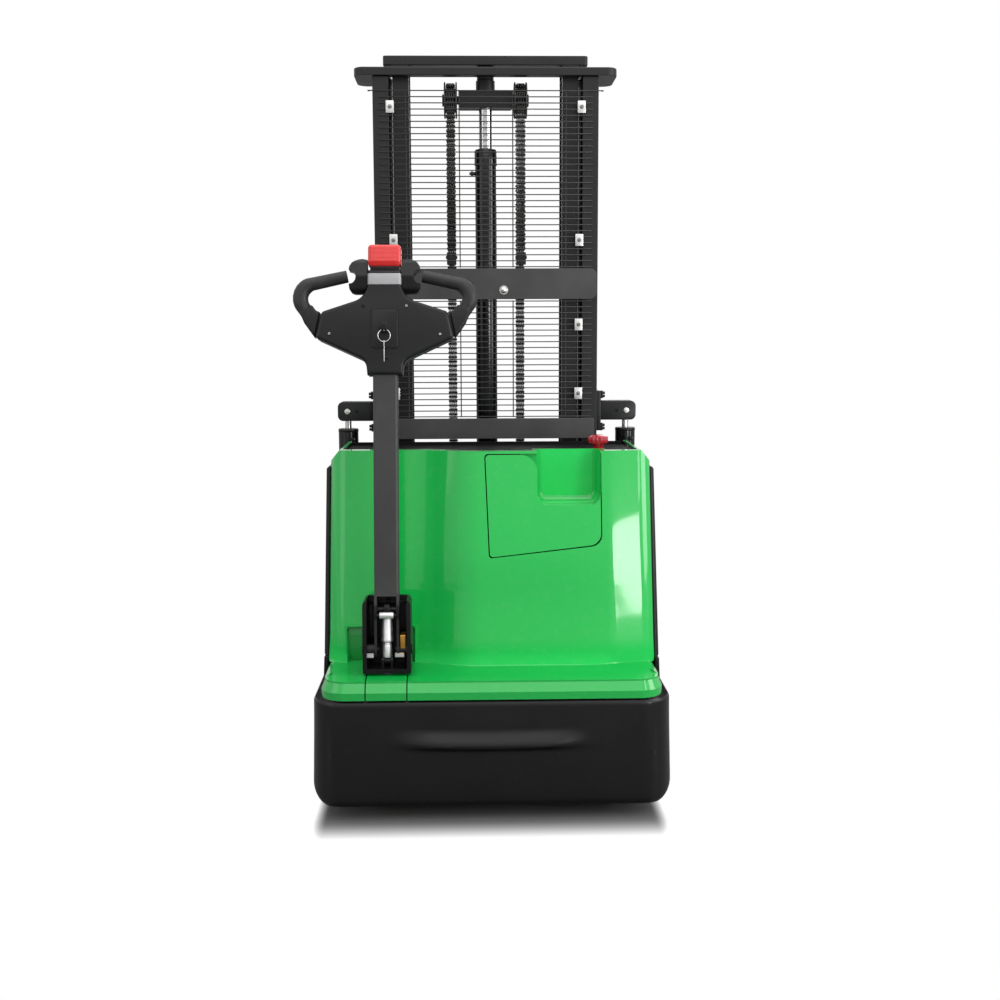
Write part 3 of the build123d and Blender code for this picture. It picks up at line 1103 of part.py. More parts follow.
def lift_bracket(side):
    """Plate on the rail's flank with a rounded clevis arm and pin over one initial-lift cylinder."""
    plate_x = RAIL_X1 + LIFT_PLATE_THICK / 2
    half = LIFT_PLATE_HEIGHT / 2
    depth = LIFT_PLATE_DEPTH / 2
    bracket = block(side * RAIL_X1, side * plate_x, LIFT_Y - depth, LIFT_Y + depth,
                    LIFT_PIN_Z - half, LIFT_PIN_Z + half)
    arm = block(side * plate_x, side * LIFT_X, LIFT_Y - CLEVIS, LIFT_Y + CLEVIS,
                LIFT_PIN_Z - LIFT_ARM_HEIGHT / 2, LIFT_PIN_Z + LIFT_ARM_HEIGHT / 2)
    arm += rod_y(LIFT_Y - CLEVIS, LIFT_Y + CLEVIS, side * LIFT_X, LIFT_PIN_Z, LIFT_ARM_HEIGHT)
    arm -= block(side * (LIFT_X - EYE_ROOM), side * (LIFT_X + LIFT_ARM_HEIGHT), LIFT_Y - EYE, LIFT_Y + EYE,
                 LIFT_PIN_Z - LIFT_ARM_HEIGHT, LIFT_PIN_Z + LIFT_ARM_HEIGHT)
    bracket += arm
    for level in STUD_LEVELS:
        bracket += rod_x(side * (plate_x - 1), side * (plate_x + STUD_OUT), LIFT_Y - STUD_BACK,
                         LIFT_PIN_Z + level, STUD_D)
    end = CLEVIS + 4
    return bracket + rod_y(LIFT_Y - end, LIFT_Y + end, side * LIFT_X, LIFT_PIN_Z, LIFT_PIN_D)


def lift_rod(side):
    """Rod of one initial-lift cylinder with its eye and piston."""
    x = side * LIFT_X
    rod = rod_z(LIFT_ROD_LOW, LIFT_PIN_Z - EYE, x, LIFT_Y, LIFT_ROD_D)
    rod += rod_z(LIFT_ROD_LOW, LIFT_ROD_LOW + LIFT_PISTON, x, LIFT_Y, LIFT_BORE_D - 2 * RUN)
    rod += rod_y(LIFT_Y - EYE, LIFT_Y + EYE, x, LIFT_PIN_Z, EYE_D)
    return rod - rod_y(LIFT_Y - CLEVIS, LIFT_Y + CLEVIS, x, LIFT_PIN_Z, LIFT_PIN_D)


def support_leg(side):
    """Support leg: an open channel with a wheel window, an arm pivot and guides for its push rod."""
    x = side * FORK_X
    half = LEG_WIDTH / 2
    leg = block(x - half, x + half, RAIL_Y0, TIP - LEG_TIP_BACK, LEG_LOW, LEG_TOP)
    leg = fillet(leg.edges().filter_by(Axis.Z).group_by(Axis.Y)[-1], LEG_CORNER)
    leg -= block(x - half + PLATE, x + half - PLATE, RAIL_Y0 - 1, TIP - LEG_TIP_BACK - PLATE, LEG_LOW - 1,
                 LEG_TOP - PLATE)
    rim = PLATE + WINDOW_RIM
    leg -= block(x - half + rim, x + half - rim, WHEEL_Y - WHEEL_ROOM, TIP - LEG_TIP_BACK - rim,
                 LEG_TOP - PLATE - 1, LEG_TOP + 1)
    leg += rod_x(x - half + 1, x + half - 1, WHEEL_PIVOT_Y, WHEEL_Z, LOAD_AXLE_D)
    rod_level = WHEEL_Z + ARM_PIN_UP
    ahead, behind = GUIDE_PLACES
    across, along, below = GUIDE_HALF
    for y in (RAIL_Y1, FORK_FACE + ahead, WHEEL_PIVOT_Y - behind):
        guide = block(x - across, x + across, y - along, y + along, rod_level - below, LEG_TOP - PLATE + 1)
        leg += guide - rod_y(y - across, y + across, x, rod_level, PUSH_ROD_D + 2 * RUN)
    return leg


def wheel_arm(side):
    """Forked arm between the leg and its load wheel, with the wheel's axle and the push rod's pin."""
    x = side * FORK_X
    inner = LOAD_WHEEL_W / 2 + ARM_PLAY
    outer = inner + ARM_CHEEK
    arm = rod_x(x - outer, x + outer, WHEEL_Y, WHEEL_Z, LOAD_AXLE_D)
    for flank in BOTH_SIDES:
        near = x + flank * inner
        far = x + flank * outer
        arm += block(near, far, WHEEL_PIVOT_Y, WHEEL_Y, WHEEL_Z - ARM_HALF, WHEEL_Z + ARM_HALF)
        arm += rod_x(near, far, WHEEL_Y, WHEEL_Z, 2 * ARM_HALF)
        arm += rod_x(near, far, WHEEL_PIVOT_Y, WHEEL_Z, ARM_BOSS_D)
    for flank in BOTH_SIDES:
        lug_in, lug_out = (x + flank * place for place in ARM_LUG)
        arm += rod_x(lug_in, x + flank * outer, WHEEL_PIVOT_Y, WHEEL_Z, ARM_SLEEVE_D)
        arm += block(lug_in, lug_out, WHEEL_PIVOT_Y - ARM_LUG_HALF, WHEEL_PIVOT_Y + ARM_LUG_HALF, WHEEL_Z,
                     WHEEL_Z + ARM_PIN_UP + ARM_LUG_UP)
    arm += rod_x(x - ARM_LUG[1], x + ARM_LUG[1], WHEEL_PIVOT_Y, WHEEL_Z + ARM_PIN_UP, ARM_PIN_D)
    return arm - rod_x(x - outer - 1, x + outer + 1, WHEEL_PIVOT_Y, WHEEL_Z, LOAD_AXLE_D + 2 * RUN)


def push_rod(side):
    """Push rod along the leg, hooked over the wheel arm's pin."""
    x = side * FORK_X
    level = WHEEL_Z + ARM_PIN_UP
    half = HOOK_WIDTH / 2
    rod = rod_y(RAIL_Y0 + ROD_START, WHEEL_PIVOT_Y - HOOK_BACK + 2, x, level, PUSH_ROD_D)
    hook = block(x - half, x + half, WHEEL_PIVOT_Y - HOOK_BACK, WHEEL_PIVOT_Y + HOOK_AHEAD,
                 level - HOOK_DROP, level + HOOK_TOP)
    slot = ARM_PIN_D / 2 + HOOK_PLAY
    half += 1
    return rod + hook - block(x - half, x + half, WHEEL_PIVOT_Y - slot, WHEEL_PIVOT_Y + slot, 0, level + slot)


def load_wheel(side):
    """Load wheel with rounded rims, bored for its axle."""
    x = side * FORK_X
    half = LOAD_WHEEL_W / 2
    wheel = fillet(rod_x(x - half, x + half, WHEEL_Y, WHEEL_Z, LOAD_WHEEL_D).edges(), 5)
    return wheel - rod_x(x - half - 1, x + half + 1, WHEEL_Y, WHEEL_Z, LOAD_AXLE_D + 2 * RUN)


# Carriage and forks

def carriage_frame():
    """Fork carriage: side plates with rollers in the inner rails, back plate, chain lugs and two bars."""
    back = FORK_FACE - SHANK_THICK - CARRIAGE_BEHIND
    frame = block(-CARRIAGE_X, CARRIAGE_X, back, back + CARRIAGE_PLATE, CARRIAGE_LOW, CARRIAGE_TOP)
    for side in BOTH_SIDES:
        inner = side * (CARRIAGE_X - CARRIAGE_PLATE)
        frame += block(inner, side * CARRIAGE_X, INNER_Y0 + RAIL_WALL + 2, back + 1,
                       CARRIAGE_LOW, CARRIAGE_TOP)
        roller_d = RAIL_DEPTH - 2 * RAIL_WALL - ROLLER_PLAY
        for level in (CARRIAGE_LOW + ROLLER_IN, CARRIAGE_TOP - ROLLER_IN):
            frame += rod_x(side * (CARRIAGE_X - 1), side * (INNER_X0 + 2), MAST_Y, level, ROLLER_STUB_D)
            frame += rod_x(side * (INNER_X0 + 1), side * (INNER_WEB - RAIL_WALL / 2 - 1),
                           MAST_Y, level, roller_d)
        frame += block(side * CHAIN_X - CHAIN_W / 2, side * CHAIN_X + CHAIN_W / 2,
                       CHAIN_FRONT_Y - CHAIN_LUG_BACK, back + 1, CHAIN_LUG_Z - CHAIN_LUG_HEIGHT, CHAIN_LUG_Z)
    front = FORK_FACE - SHANK_THICK
    bar_x = FORK_SPREAD / 2
    for level in (CARRIAGE_LOW + BAR_LOW, CARRIAGE_TOP - BAR_DROP):
        frame += block(-bar_x, bar_x, back + CARRIAGE_PLATE - 1, front, level, level + BAR_HEIGHT)
    return frame


def fork(side):
    """Fork: an upright shank and a hollow blade, open below over the leg, with a tapered tip."""
    x = side * FORK_X
    half = FORK_WIDTH / 2
    back = FORK_FACE - SHANK_THICK
    low = FORK_TOP - FORK_HEIGHT
    taper = TIP - FORK_TIP
    nose = [(TIP + ahead, FORK_TOP + up) for ahead, up in FORK_NOSE]
    outline = [(back, low), (taper, low), *nose, (taper, FORK_TOP), (FORK_FACE, FORK_TOP),
               (FORK_FACE, SHANK_TOP), (back, SHANK_TOP)]
    blade = side_profile(outline, x - half, x + half)
    blade = fillet(blade.edges().filter_by(Axis.Z).group_by(Axis.Y)[-1], FORK_ROUND)
    inside = half - FORK_WALL
    return blade - block(x - inside, x + inside, back - 1, taper, low - 1, FORK_TOP - FORK_WALL)


keep("mast_rails", *both_sides(outer_rail))
keep("inner_rails", *both_sides(inner_rail))
mast_ties()
guard()
main_lift()
chains()
keep("lift_brackets", *both_sides(lift_bracket))
keep("lift_rods", *both_sides(lift_rod))
keep("push_rods", *both_sides(push_rod))
for sign, word in ((-1, "left"), (1, "right")):
    keep(f"support_leg_{word}", support_leg(sign))
    keep(f"wheel_arm_{word}", wheel_arm(sign))
    keep(f"load_wheel_{word}", load_wheel(sign))
keep("carriage_frame", carriage_frame())
keep("forks", *both_sides(fork))


os.makedirs("parts", exist_ok=True)
for name, solids in nodes.items():
    export_step(Compound(solids), f"parts/{name}.step")
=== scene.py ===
"""Looks of the initial lift stacker: finishes, detailed pieces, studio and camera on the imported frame."""
import logging
import math
from dataclasses import dataclass
from enum import Enum
from typing import Callable, Iterable, Sequence

import bmesh
import bpy
from mathutils import Matrix, Vector


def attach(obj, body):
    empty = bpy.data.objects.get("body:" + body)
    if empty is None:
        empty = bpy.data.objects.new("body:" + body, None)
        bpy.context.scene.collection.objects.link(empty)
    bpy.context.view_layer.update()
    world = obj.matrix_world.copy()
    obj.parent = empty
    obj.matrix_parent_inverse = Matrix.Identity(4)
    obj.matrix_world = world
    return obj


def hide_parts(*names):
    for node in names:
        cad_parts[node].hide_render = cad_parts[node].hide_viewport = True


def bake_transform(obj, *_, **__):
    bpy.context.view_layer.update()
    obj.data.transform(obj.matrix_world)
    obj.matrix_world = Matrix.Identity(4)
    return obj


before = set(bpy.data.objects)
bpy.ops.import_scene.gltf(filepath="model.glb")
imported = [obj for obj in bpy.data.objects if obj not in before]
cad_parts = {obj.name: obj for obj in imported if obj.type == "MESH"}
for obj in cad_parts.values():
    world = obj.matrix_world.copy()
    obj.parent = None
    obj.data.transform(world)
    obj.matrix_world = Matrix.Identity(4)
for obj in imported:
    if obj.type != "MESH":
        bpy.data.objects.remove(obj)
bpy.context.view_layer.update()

LOG = logging.getLogger("stacker")
MM = 0.001
OFFSET_X = 20.0     # the truck's middle in the row frame, millimetres
WELD = 2e-6         # corners of a CAD mesh nearer than this are one, metres
COPLANAR = 0.6      # triangles that meet at less than this are coplanar, degrees
ON_PLANE = 1e-4     # corners nearer than this to a cutting plane lie on it, millimetres
TOUCH = 1e-3        # corners of a drawn shape nearer than this are one, millimetres
MIX_A, MIX_B, MIX_RESULT = 6, 7, 2      # colour sockets of a Mix node
SIDES = ((-1.0, "left"), (1.0, "right"))
WHITE = (1.0, 1.0, 1.0, 1.0)
Point = tuple[float, float, float]
Flat = tuple[float, float]


class Axis(Enum):
    """Directions that round and profiled pieces are drawn along."""

    X = Vector((1.0, 0.0, 0.0))
    Y = Vector((0.0, 1.0, 0.0))
    Z = Vector((0.0, 0.0, 1.0))


class Value:
    """A shader socket that adds Math nodes when it is used in an expression."""

    def __init__(self, sheet: "Nodes", socket: bpy.types.NodeSocket) -> None:
        """Keep the socket and the node tree that it belongs to."""
        self.sheet = sheet
        self.socket = socket

    def math(self, operation: str, *others: "Value | float", flip: bool = False) -> "Value":
        """Add a Math node on this value.

        Args:
            operation: name of the Math node's operation.
            others: further operands.
            flip: puts this value after the first of the others.

        Returns:
            The node's result.
        """
        terms = [self, *others]
        if flip:
            terms[0], terms[1] = terms[1], terms[0]
        made = self.sheet.node("ShaderNodeMath", {"operation": operation}, dict(enumerate(terms)))
        return Value(self.sheet, made.outputs[0])

    def __add__(self, other: "Value | float") -> "Value":
        """This value plus another."""
        return self.math("ADD", other)

    __radd__ = __add__

    def __sub__(self, other: "Value | float") -> "Value":
        """This value minus another."""
        return self.math("SUBTRACT", other)

    def __rsub__(self, other: float) -> "Value":
        """A number minus this value."""
        return self.math("SUBTRACT", other, flip=True)

    def __mul__(self, other: "Value | float") -> "Value":
        """This value times another."""
        return self.math("MULTIPLY", other)

    def __pow__(self, other: float) -> "Value":
        """This value to a power."""
        return self.math("POWER", other)

    def span(self, low: float, high: float) -> "Value":
        """Stretch low to high onto 0 to 1 and clamp what lies outside."""
        limits = {0: self, 1: low, 2: high, 3: 0.0, 4: 1.0}
        made = self.sheet.node("ShaderNodeMapRange", {"clamp": True}, limits)
        return Value(self.sheet, made.outputs[0])


class Nodes:
    """A node tree that nodes are added to."""

    def __init__(self, tree: bpy.types.NodeTree) -> None:
        """Start with an empty tree."""
        tree.nodes.clear()
        self.tree = tree

    def node(self, kind: str, settings: dict | None = None, sockets: dict | None = None) -> bpy.types.Node:
        """Add a node.

        Args:
            kind: the node's type.
            settings: its properties, set first.
            sockets: values or links of its inputs, by name or index.

        Returns:
            The new node.
        """
        made = self.tree.nodes.new(kind)
        for name, value in (settings or {}).items():
            setattr(made, name, value)
        for key, value in (sockets or {}).items():
            self.feed(made.inputs[key], value)
        return made

    def feed(self, socket: bpy.types.NodeSocket,
             value: "Value | bpy.types.NodeSocket | float | Sequence") -> None:
        """Link or set one input socket."""
        if isinstance(value, Value):
            value = value.socket
        if isinstance(value, bpy.types.NodeSocket):
            self.tree.links.new(value, socket)
        else:
            socket.default_value = value

    def backdrop(self, mirrored: float) -> Value:
        """1 where the camera sees a surface straight or through glass, and a share of it in mirrors."""
        path = self.node("ShaderNodeLightPath")
        seen = Value(self, path.outputs["Is Glossy Ray"]) * mirrored
        for ray in ("Is Camera Ray", "Is Transmission Ray"):
            seen = seen.math("MAXIMUM", Value(self, path.outputs[ray]))
        return seen


class Sheet(Nodes):
    """Node sheet of one material, with a Principled shader ready to be fed."""

    def __init__(self, name: str) -> None:
        """Make a material of this name and its shader."""
        self.material = bpy.data.materials.new(name)
        self.material.use_nodes = True
        super().__init__(self.material.node_tree)
        self.shader = self.node("ShaderNodeBsdfPrincipled")
        self.out = self.node("ShaderNodeOutputMaterial", {}, {"Surface": self.shader.outputs[0]})
        self.coords = self.node("ShaderNodeTexCoord").outputs["Object"]

    def set(self, **sockets: "Value | bpy.types.NodeSocket | float | Sequence") -> None:
        """Feed the Principled shader's inputs, with underscores for spaces in their names."""
        for name, value in sockets.items():
            self.feed(self.shader.inputs[name.replace("_", " ")], value)

    def stretched(self, scale: Point) -> bpy.types.NodeSocket:
        """Object coordinates scaled differently along each axis."""
        return self.node("ShaderNodeMapping", {}, {"Vector": self.coords, "Scale": scale}).outputs[0]

    def noise(self, scale: float, detail: float = 3.0, rough: float = 0.55,
              vector: bpy.types.NodeSocket | None = None) -> Value:
        """Noise at a scale in cycles per metre."""
        made = self.node("ShaderNodeTexNoise", {}, {"Vector": vector or self.coords, "Scale": scale,
                                                    "Detail": detail, "Roughness": rough})
        return Value(self, made.outputs[0])

    def cells(self, scale: float) -> Value:
        """Distance of a Voronoi pattern at a scale in cells per metre."""
        made = self.node("ShaderNodeTexVoronoi", {}, {"Vector": self.coords, "Scale": scale})
        return Value(self, made.outputs["Distance"])

    def place(self, axis: int) -> Value:
        """One of the Object coordinates, in metres."""
        return Value(self, self.node("ShaderNodeSeparateXYZ", {}, {0: self.coords}).outputs[axis])

    def blend(self, amount: Value, low: Sequence[float], high: "Sequence[float] | bpy.types.NodeSocket",
              under: bpy.types.NodeSocket | None = None) -> bpy.types.NodeSocket:
        """Mix two colours.

        Args:
            amount: 0 for the first colour, 1 for the second.
            low: first colour, left out where under is given.
            high: second colour.
            under: a colour socket in place of the first colour.

        Returns:
            The mixed colour's socket.
        """
        made = self.node("ShaderNodeMix", {"data_type": "RGBA"})
        self.feed(made.inputs[0], amount)
        self.feed(made.inputs[MIX_A], under or (*low, 1.0))
        self.feed(made.inputs[MIX_B], high if isinstance(high, bpy.types.NodeSocket) else (*high, 1.0))
        return made.outputs[MIX_RESULT]

    def bump(self, height: Value, distance: float, strength: float) -> bpy.types.NodeSocket:
        """Bump normal from a height between 0 and 1, with its relief in metres and the share that shows."""
        sockets = {"Height": height, "Distance": distance, "Strength": strength}
        return self.node("ShaderNodeBump", {}, sockets).outputs[0]


@dataclass(frozen=True)
class Finish:
    """A finish: its name, the record's slot it belongs to and its base colour."""

    name: str
    slot: str
    colour: Sequence[float]

    def material(self) -> bpy.types.Material:
        """The finish's material, made on first use."""
        known = bpy.data.materials.get(self.name)
        if known:
            return known
        sheet = Sheet(self.name)
        self.dress(sheet)
        return sheet.material

    def dress(self, sheet: Sheet) -> None:
        """Feed the shader; each kind of finish has its own way."""
        raise NotImplementedError

    def shade(self, factor: float) -> tuple[float, ...]:
        """The base colour made darker or lighter by a factor."""
        return tuple(min(1.0, part * factor) for part in self.colour)


@dataclass(frozen=True)
class GlossCover(Finish):
    """Lacquered moulding: deep colour under a clear coat with faint orange peel and dust near its foot."""

    dust: float = 0.02
    dull: Sequence[float] = ()

    def dress(self, sheet: Sheet) -> None:
        """Feed colour drift, coat and peel, and dull the coat between two heights."""
        drift = sheet.noise(2.2, 2.0).span(0.3, 0.7)
        hue = sheet.blend(drift, self.shade(0.97), self.shade(1.03))
        film = sheet.noise(55.0, 5.0).span(0.52, 0.72) * self.dust
        peel = sheet.noise(240.0, 2.0)
        swirl = sheet.noise(900.0, 2.0, vector=sheet.stretched((1.0, 1.0, 0.15)))
        rough, coat = 0.30 + film * 1.2 + swirl * 0.04, 1.0 - film * 2.0
        if self.dull:
            low, high = self.dull
            height = sheet.place(2)
            band = height.span(low, low + 0.004) * (1.0 - height.span(high - 0.03, high))
            rough, coat = rough + band * 0.3, coat * (1.0 - band)
        sheet.set(Base_Color=sheet.blend(film, self.colour, (0.55, 0.58, 0.55), under=hue), Roughness=rough,
                  Coat_Weight=coat, Coat_Roughness=0.05, Coat_IOR=1.45, Specular_IOR_Level=0.2,
                  Normal=sheet.bump(peel, 0.00012, 0.35))


@dataclass(frozen=True)
class GrainPlastic(Finish):
    """Moulded plastic with a leather-like grain and slight scuffs."""

    grain: float = 900.0
    depth: float = 0.00012
    rough: float = 0.46
    gleam: float = 0.30

    def dress(self, sheet: Sheet) -> None:
        """Feed grain, scuffs and colour drift."""
        pits = sheet.cells(self.grain)
        fine = sheet.noise(self.grain * 2.2, 2.0)
        drift = sheet.noise(6.0, 3.0).span(0.35, 0.7)
        scuff = sheet.noise(70.0, 6.0, 0.7, sheet.stretched((1.0, 1.0, 4.0))).span(0.60, 0.78)
        hue = sheet.blend(drift, self.shade(0.85), self.shade(1.2))
        sheet.set(Base_Color=sheet.blend(scuff * 0.16, self.colour, (0.10, 0.10, 0.10), under=hue),
                  Roughness=self.rough + drift * 0.07 + scuff * 0.12, Specular_IOR_Level=self.gleam,
                  Normal=sheet.bump(pits * 0.7 + fine * 0.3, self.depth, 0.55))


@dataclass(frozen=True)
class SatinPaint(Finish):
    """Powder-coated steel: fine orange peel, dust film and worn flecks."""

    rough: float = 0.40
    wear: float = 0.35
    gleam: float = 0.5
    painted_shade_below: float = 0.0

    def dress(self, sheet: Sheet) -> None:
        """Feed peel, film and flecks, and paint shade by darkening what lies below a height."""
        peel = sheet.noise(620.0, 2.0)
        coarse = sheet.noise(150.0, 2.0)
        film = sheet.noise(7.0, 4.0).span(0.40, 0.75)
        patch = sheet.noise(300.0, 4.0, 0.7) * sheet.noise(14.0, 2.0).span(0.45, 0.7)
        fleck = patch.span(0.55, 0.66) * self.wear
        hue = sheet.blend(film, self.shade(0.88), self.shade(1.30))
        # painted shade: below this height the colour is darkened to about an eighth
        if self.painted_shade_below:
            above = sheet.place(2).span(self.painted_shade_below - 0.02, self.painted_shade_below)
            hue = sheet.blend(above, self.shade(0.12), hue)
        sheet.set(Base_Color=sheet.blend(fleck, self.colour, (0.07, 0.07, 0.072), under=hue),
                  Roughness=self.rough + film * 0.10 - fleck * 0.08, Metallic=fleck * 0.5,
                  Specular_IOR_Level=self.gleam, Normal=sheet.bump(peel * 0.6 + coarse * 0.4, 0.00010, 0.6))


@dataclass(frozen=True)
class PlatedSteel(Finish):
    """Bare or plated steel with fine machining lines and smudges."""

    rough: float = 0.30
    lines: Point = (1.0, 1.0, 1.0)
    tarnish: float = 0.25

    def dress(self, sheet: Sheet) -> None:
        """Feed machining lines, smudges and tarnish."""
        lines = sheet.noise(900.0, 2.0, 0.6, sheet.stretched(self.lines))
        smudge = sheet.noise(45.0, 5.0).span(0.45, 0.75)
        hue = sheet.blend(smudge * self.tarnish, self.colour, self.shade(0.45))
        sheet.set(Base_Color=hue, Metallic=1.0, Roughness=self.rough + smudge * 0.12 + lines * 0.08,
                  Normal=sheet.bump(lines, 0.00004, 0.4))


@dataclass(frozen=True)
class SoftRubber(Finish):
    """Rubber or polyurethane: matt, slightly chalky, with dirt in a fine pebble."""

    dirt: Sequence[float] = (0.12, 0.11, 0.10)
    rough: float = 0.62

    def dress(self, sheet: Sheet) -> None:
        """Feed pebble, chalk and dirt."""
        pebble = sheet.cells(1400.0)
        chalk = sheet.noise(30.0, 5.0, 0.65).span(0.45, 0.75)
        hue = sheet.blend(chalk * 0.35, self.colour, self.dirt)
        sheet.set(Base_Color=hue, Roughness=self.rough + chalk * 0.15, Specular_IOR_Level=0.35,
                  Normal=sheet.bump(pebble, 0.00010, 0.5))


@dataclass(frozen=True)
class CastMetal(Finish):
    """Sand-cast metal: lumpy skin with dark hollows and a sheen on the high spots."""

    def dress(self, sheet: Sheet) -> None:
        """Feed the cast skin."""
        skin = sheet.noise(420.0, 5.0, 0.65)
        lump = sheet.noise(60.0, 2.0)
        hue = sheet.blend(skin.span(0.35, 0.7), self.shade(0.6), self.shade(1.35))
        sheet.set(Base_Color=hue, Metallic=0.55, Roughness=0.66 - skin.span(0.5, 0.8) * 0.18,
                  Normal=sheet.bump(skin * 0.6 + lump * 0.4, 0.0004, 0.6))


class Finishes:
    """All the truck's finishes."""

    green = GlossCover("Green lacquer", "green_cover", (0.0042, 0.425, 0.064), dull=(0.349, 0.41))
    # painted shade: a darker copy of the green for the ledge and the cover below the tiller
    ledge = GlossCover("Green lacquer darkened as painted shade on the ledge", "green_cover", (0.0036, 0.345, 0.052),
                       dull=(0.349, 0.41))
    # painted light: a lighter copy of the green that lines the pocket so it looks lit inside its shade
    pocket = GlossCover("Green lightened as painted light in the pocket", "green_cover", (0.010, 0.56, 0.098))
    # painted shade: a darker copy of the green for the sheet in the niche
    shade = GlossCover("Green darkened as painted shade in the niche", "green_cover", (0.0035, 0.27, 0.040))
    bumper = GrainPlastic("Bumper plastic", "black_plastic", (0.0030, 0.0030, 0.0032),
                          700.0, 0.00010, 0.30, 0.32)
    trim = GrainPlastic("Black trim plastic", "black_plastic", (0.005, 0.005, 0.0054),
                        1000.0, 0.00008, 0.32, 0.26)
    tray = GrainPlastic("Console plastic", "black_plastic", (0.003, 0.003, 0.0032),
                        1000.0, 0.00008, 0.55, 0.08)
    head = GrainPlastic("Tiller head plastic", "black_plastic", (0.0085, 0.0085, 0.009),
                        1500.0, 0.00006, 0.31, 0.30)
    grip = SoftRubber("Grip rubber", "grip_rubber", (0.018, 0.018, 0.019), (0.042, 0.042, 0.042), 0.42)
    mast = SatinPaint("Mast paint", "mast_paint", (0.0085, 0.0087, 0.0092), 0.38, 0.35, 0.36)
    # painted light: a lighter copy of the mast paint for the guard bar and lower crossbar, which the front
    # light falls on
    bar = SatinPaint("Mast paint lightened as painted light on the bars", "mast_paint", (0.036, 0.036, 0.0365), 0.40)
    cylinder = SatinPaint("Cylinder paint", "mast_paint", (0.004, 0.004, 0.0043), 0.13, 0.1)
    # painted shade: the arm's paint darkens below 0.515 m, where it goes down into the bracket
    arm = SatinPaint("Tiller arm paint", "arm_paint", (0.029, 0.0285, 0.030), 0.42, 0.15, 0.45, 0.515)
    wire = SatinPaint("Wire coating", "wire", (0.012, 0.012, 0.0125), 0.45, 0.10)
    zinc = PlatedSteel("Zinc plate", "bright_steel", (0.72, 0.72, 0.70), 0.34, (1.0, 1.0, 1.0), 0.18)
    satin = SatinPaint("Silver trim", "grey_control", (0.36, 0.36, 0.37), 0.34, 0.05)
    silver = PlatedSteel("Bright spring", "bright_steel", (0.96, 0.96, 0.96), 0.46, (1.0, 1.0, 0.05), 0.08)
    foot = SatinPaint("Bracket paint", "arm_paint", (0.0045, 0.0045, 0.005), 0.26, 0.12, 0.24)
    steel = PlatedSteel("Turned steel", "bright_steel", (0.62, 0.61, 0.59), 0.26, (0.05, 0.05, 1.0), 0.2)
    chrome = PlatedSteel("Hard chrome", "hard_chrome", (0.64, 0.64, 0.65), 0.10, (0.05, 0.05, 1.0), 0.10)
    chain = PlatedSteel("Oiled chain steel", "chain_steel", (0.045, 0.044, 0.042), 0.20, (1.0, 1.0, 0.2), 0.6)
    iron = CastMetal("Cast iron", "cast_iron", (0.085, 0.085, 0.088))
    tread = SoftRubber("Polyurethane tread", "tread", (0.30, 0.17, 0.055), (0.10, 0.09, 0.08), 0.5)
    red = GlossCover("Red moulding", "red_button", (0.63, 0.016, 0.014), 0.03)
    crimson = GlossCover("Crimson knob", "red_button", (0.36, 0.003, 0.014), 0.03)
    brass = PlatedSteel("Yellow bronze", "bright_steel", (0.62, 0.34, 0.07), 0.34, (1.0, 1.0, 0.1), 0.35)
    control = GrainPlastic("Control plastic", "grey_control", (0.008, 0.008, 0.0085),
                           1400.0, 0.00006, 0.34, 0.3)
    case = GrainPlastic("Battery case", "battery_case", (0.022, 0.022, 0.024), 600.0, 0.0001, 0.5)
    pump = SatinPaint("Pump paint", "pump_grey", (0.20, 0.21, 0.22), 0.4)


def bevel_edges(mesh: bmesh.types.BMesh, edges: Sequence[bmesh.types.BMEdge], width: float,
                segments: int) -> None:
    """Round some edges of a mesh to a width, in a number of steps."""
    bmesh.ops.bevel(mesh, geom=edges, offset=width, affect="EDGES", segments=segments, profile=0.5,
                    clamp_overlap=True, material=-1)


def spot(axis: Axis, flat: Flat, level: float) -> Point:
    """Point at a level along an axis, from its (y, z), (x, z) or (x, y) in the other two directions."""
    if axis is Axis.X:
        return (level, *flat)
    return (flat[0], level, flat[1]) if axis is Axis.Y else (*flat, level)


def around(count: int, radius: float, middle: Flat) -> list[Flat]:
    """Places spread evenly on a circle."""
    turns = [math.tau * step / count for step in range(count)]
    return [(middle[0] + radius * math.cos(turn), middle[1] + radius * math.sin(turn)) for turn in turns]


def both_sides(half: Sequence[Flat]) -> list[Flat]:
    """Closed profile of a wheel from the (radius, offset) points of one half."""
    return [*half, *((radius, -offset) for radius, offset in reversed(half)), half[0]]


def along_table(table: Sequence[Flat], at: float) -> float:
    """Value at a place in a table of (place, value) rows, with straight lines between them."""
    for (start, low), (end, high) in zip(table, table[1:]):
        if at <= end:
            return low + (high - low) * (at - start) / (end - start)
    return table[-1][1]


def smoothstep(low: float, high: float, value: float) -> float:
    """Smooth step from 0 at low to 1 at high."""
    share = min(1.0, max(0.0, (value - low) / (high - low)))
    return share * share * (3.0 - 2.0 * share)


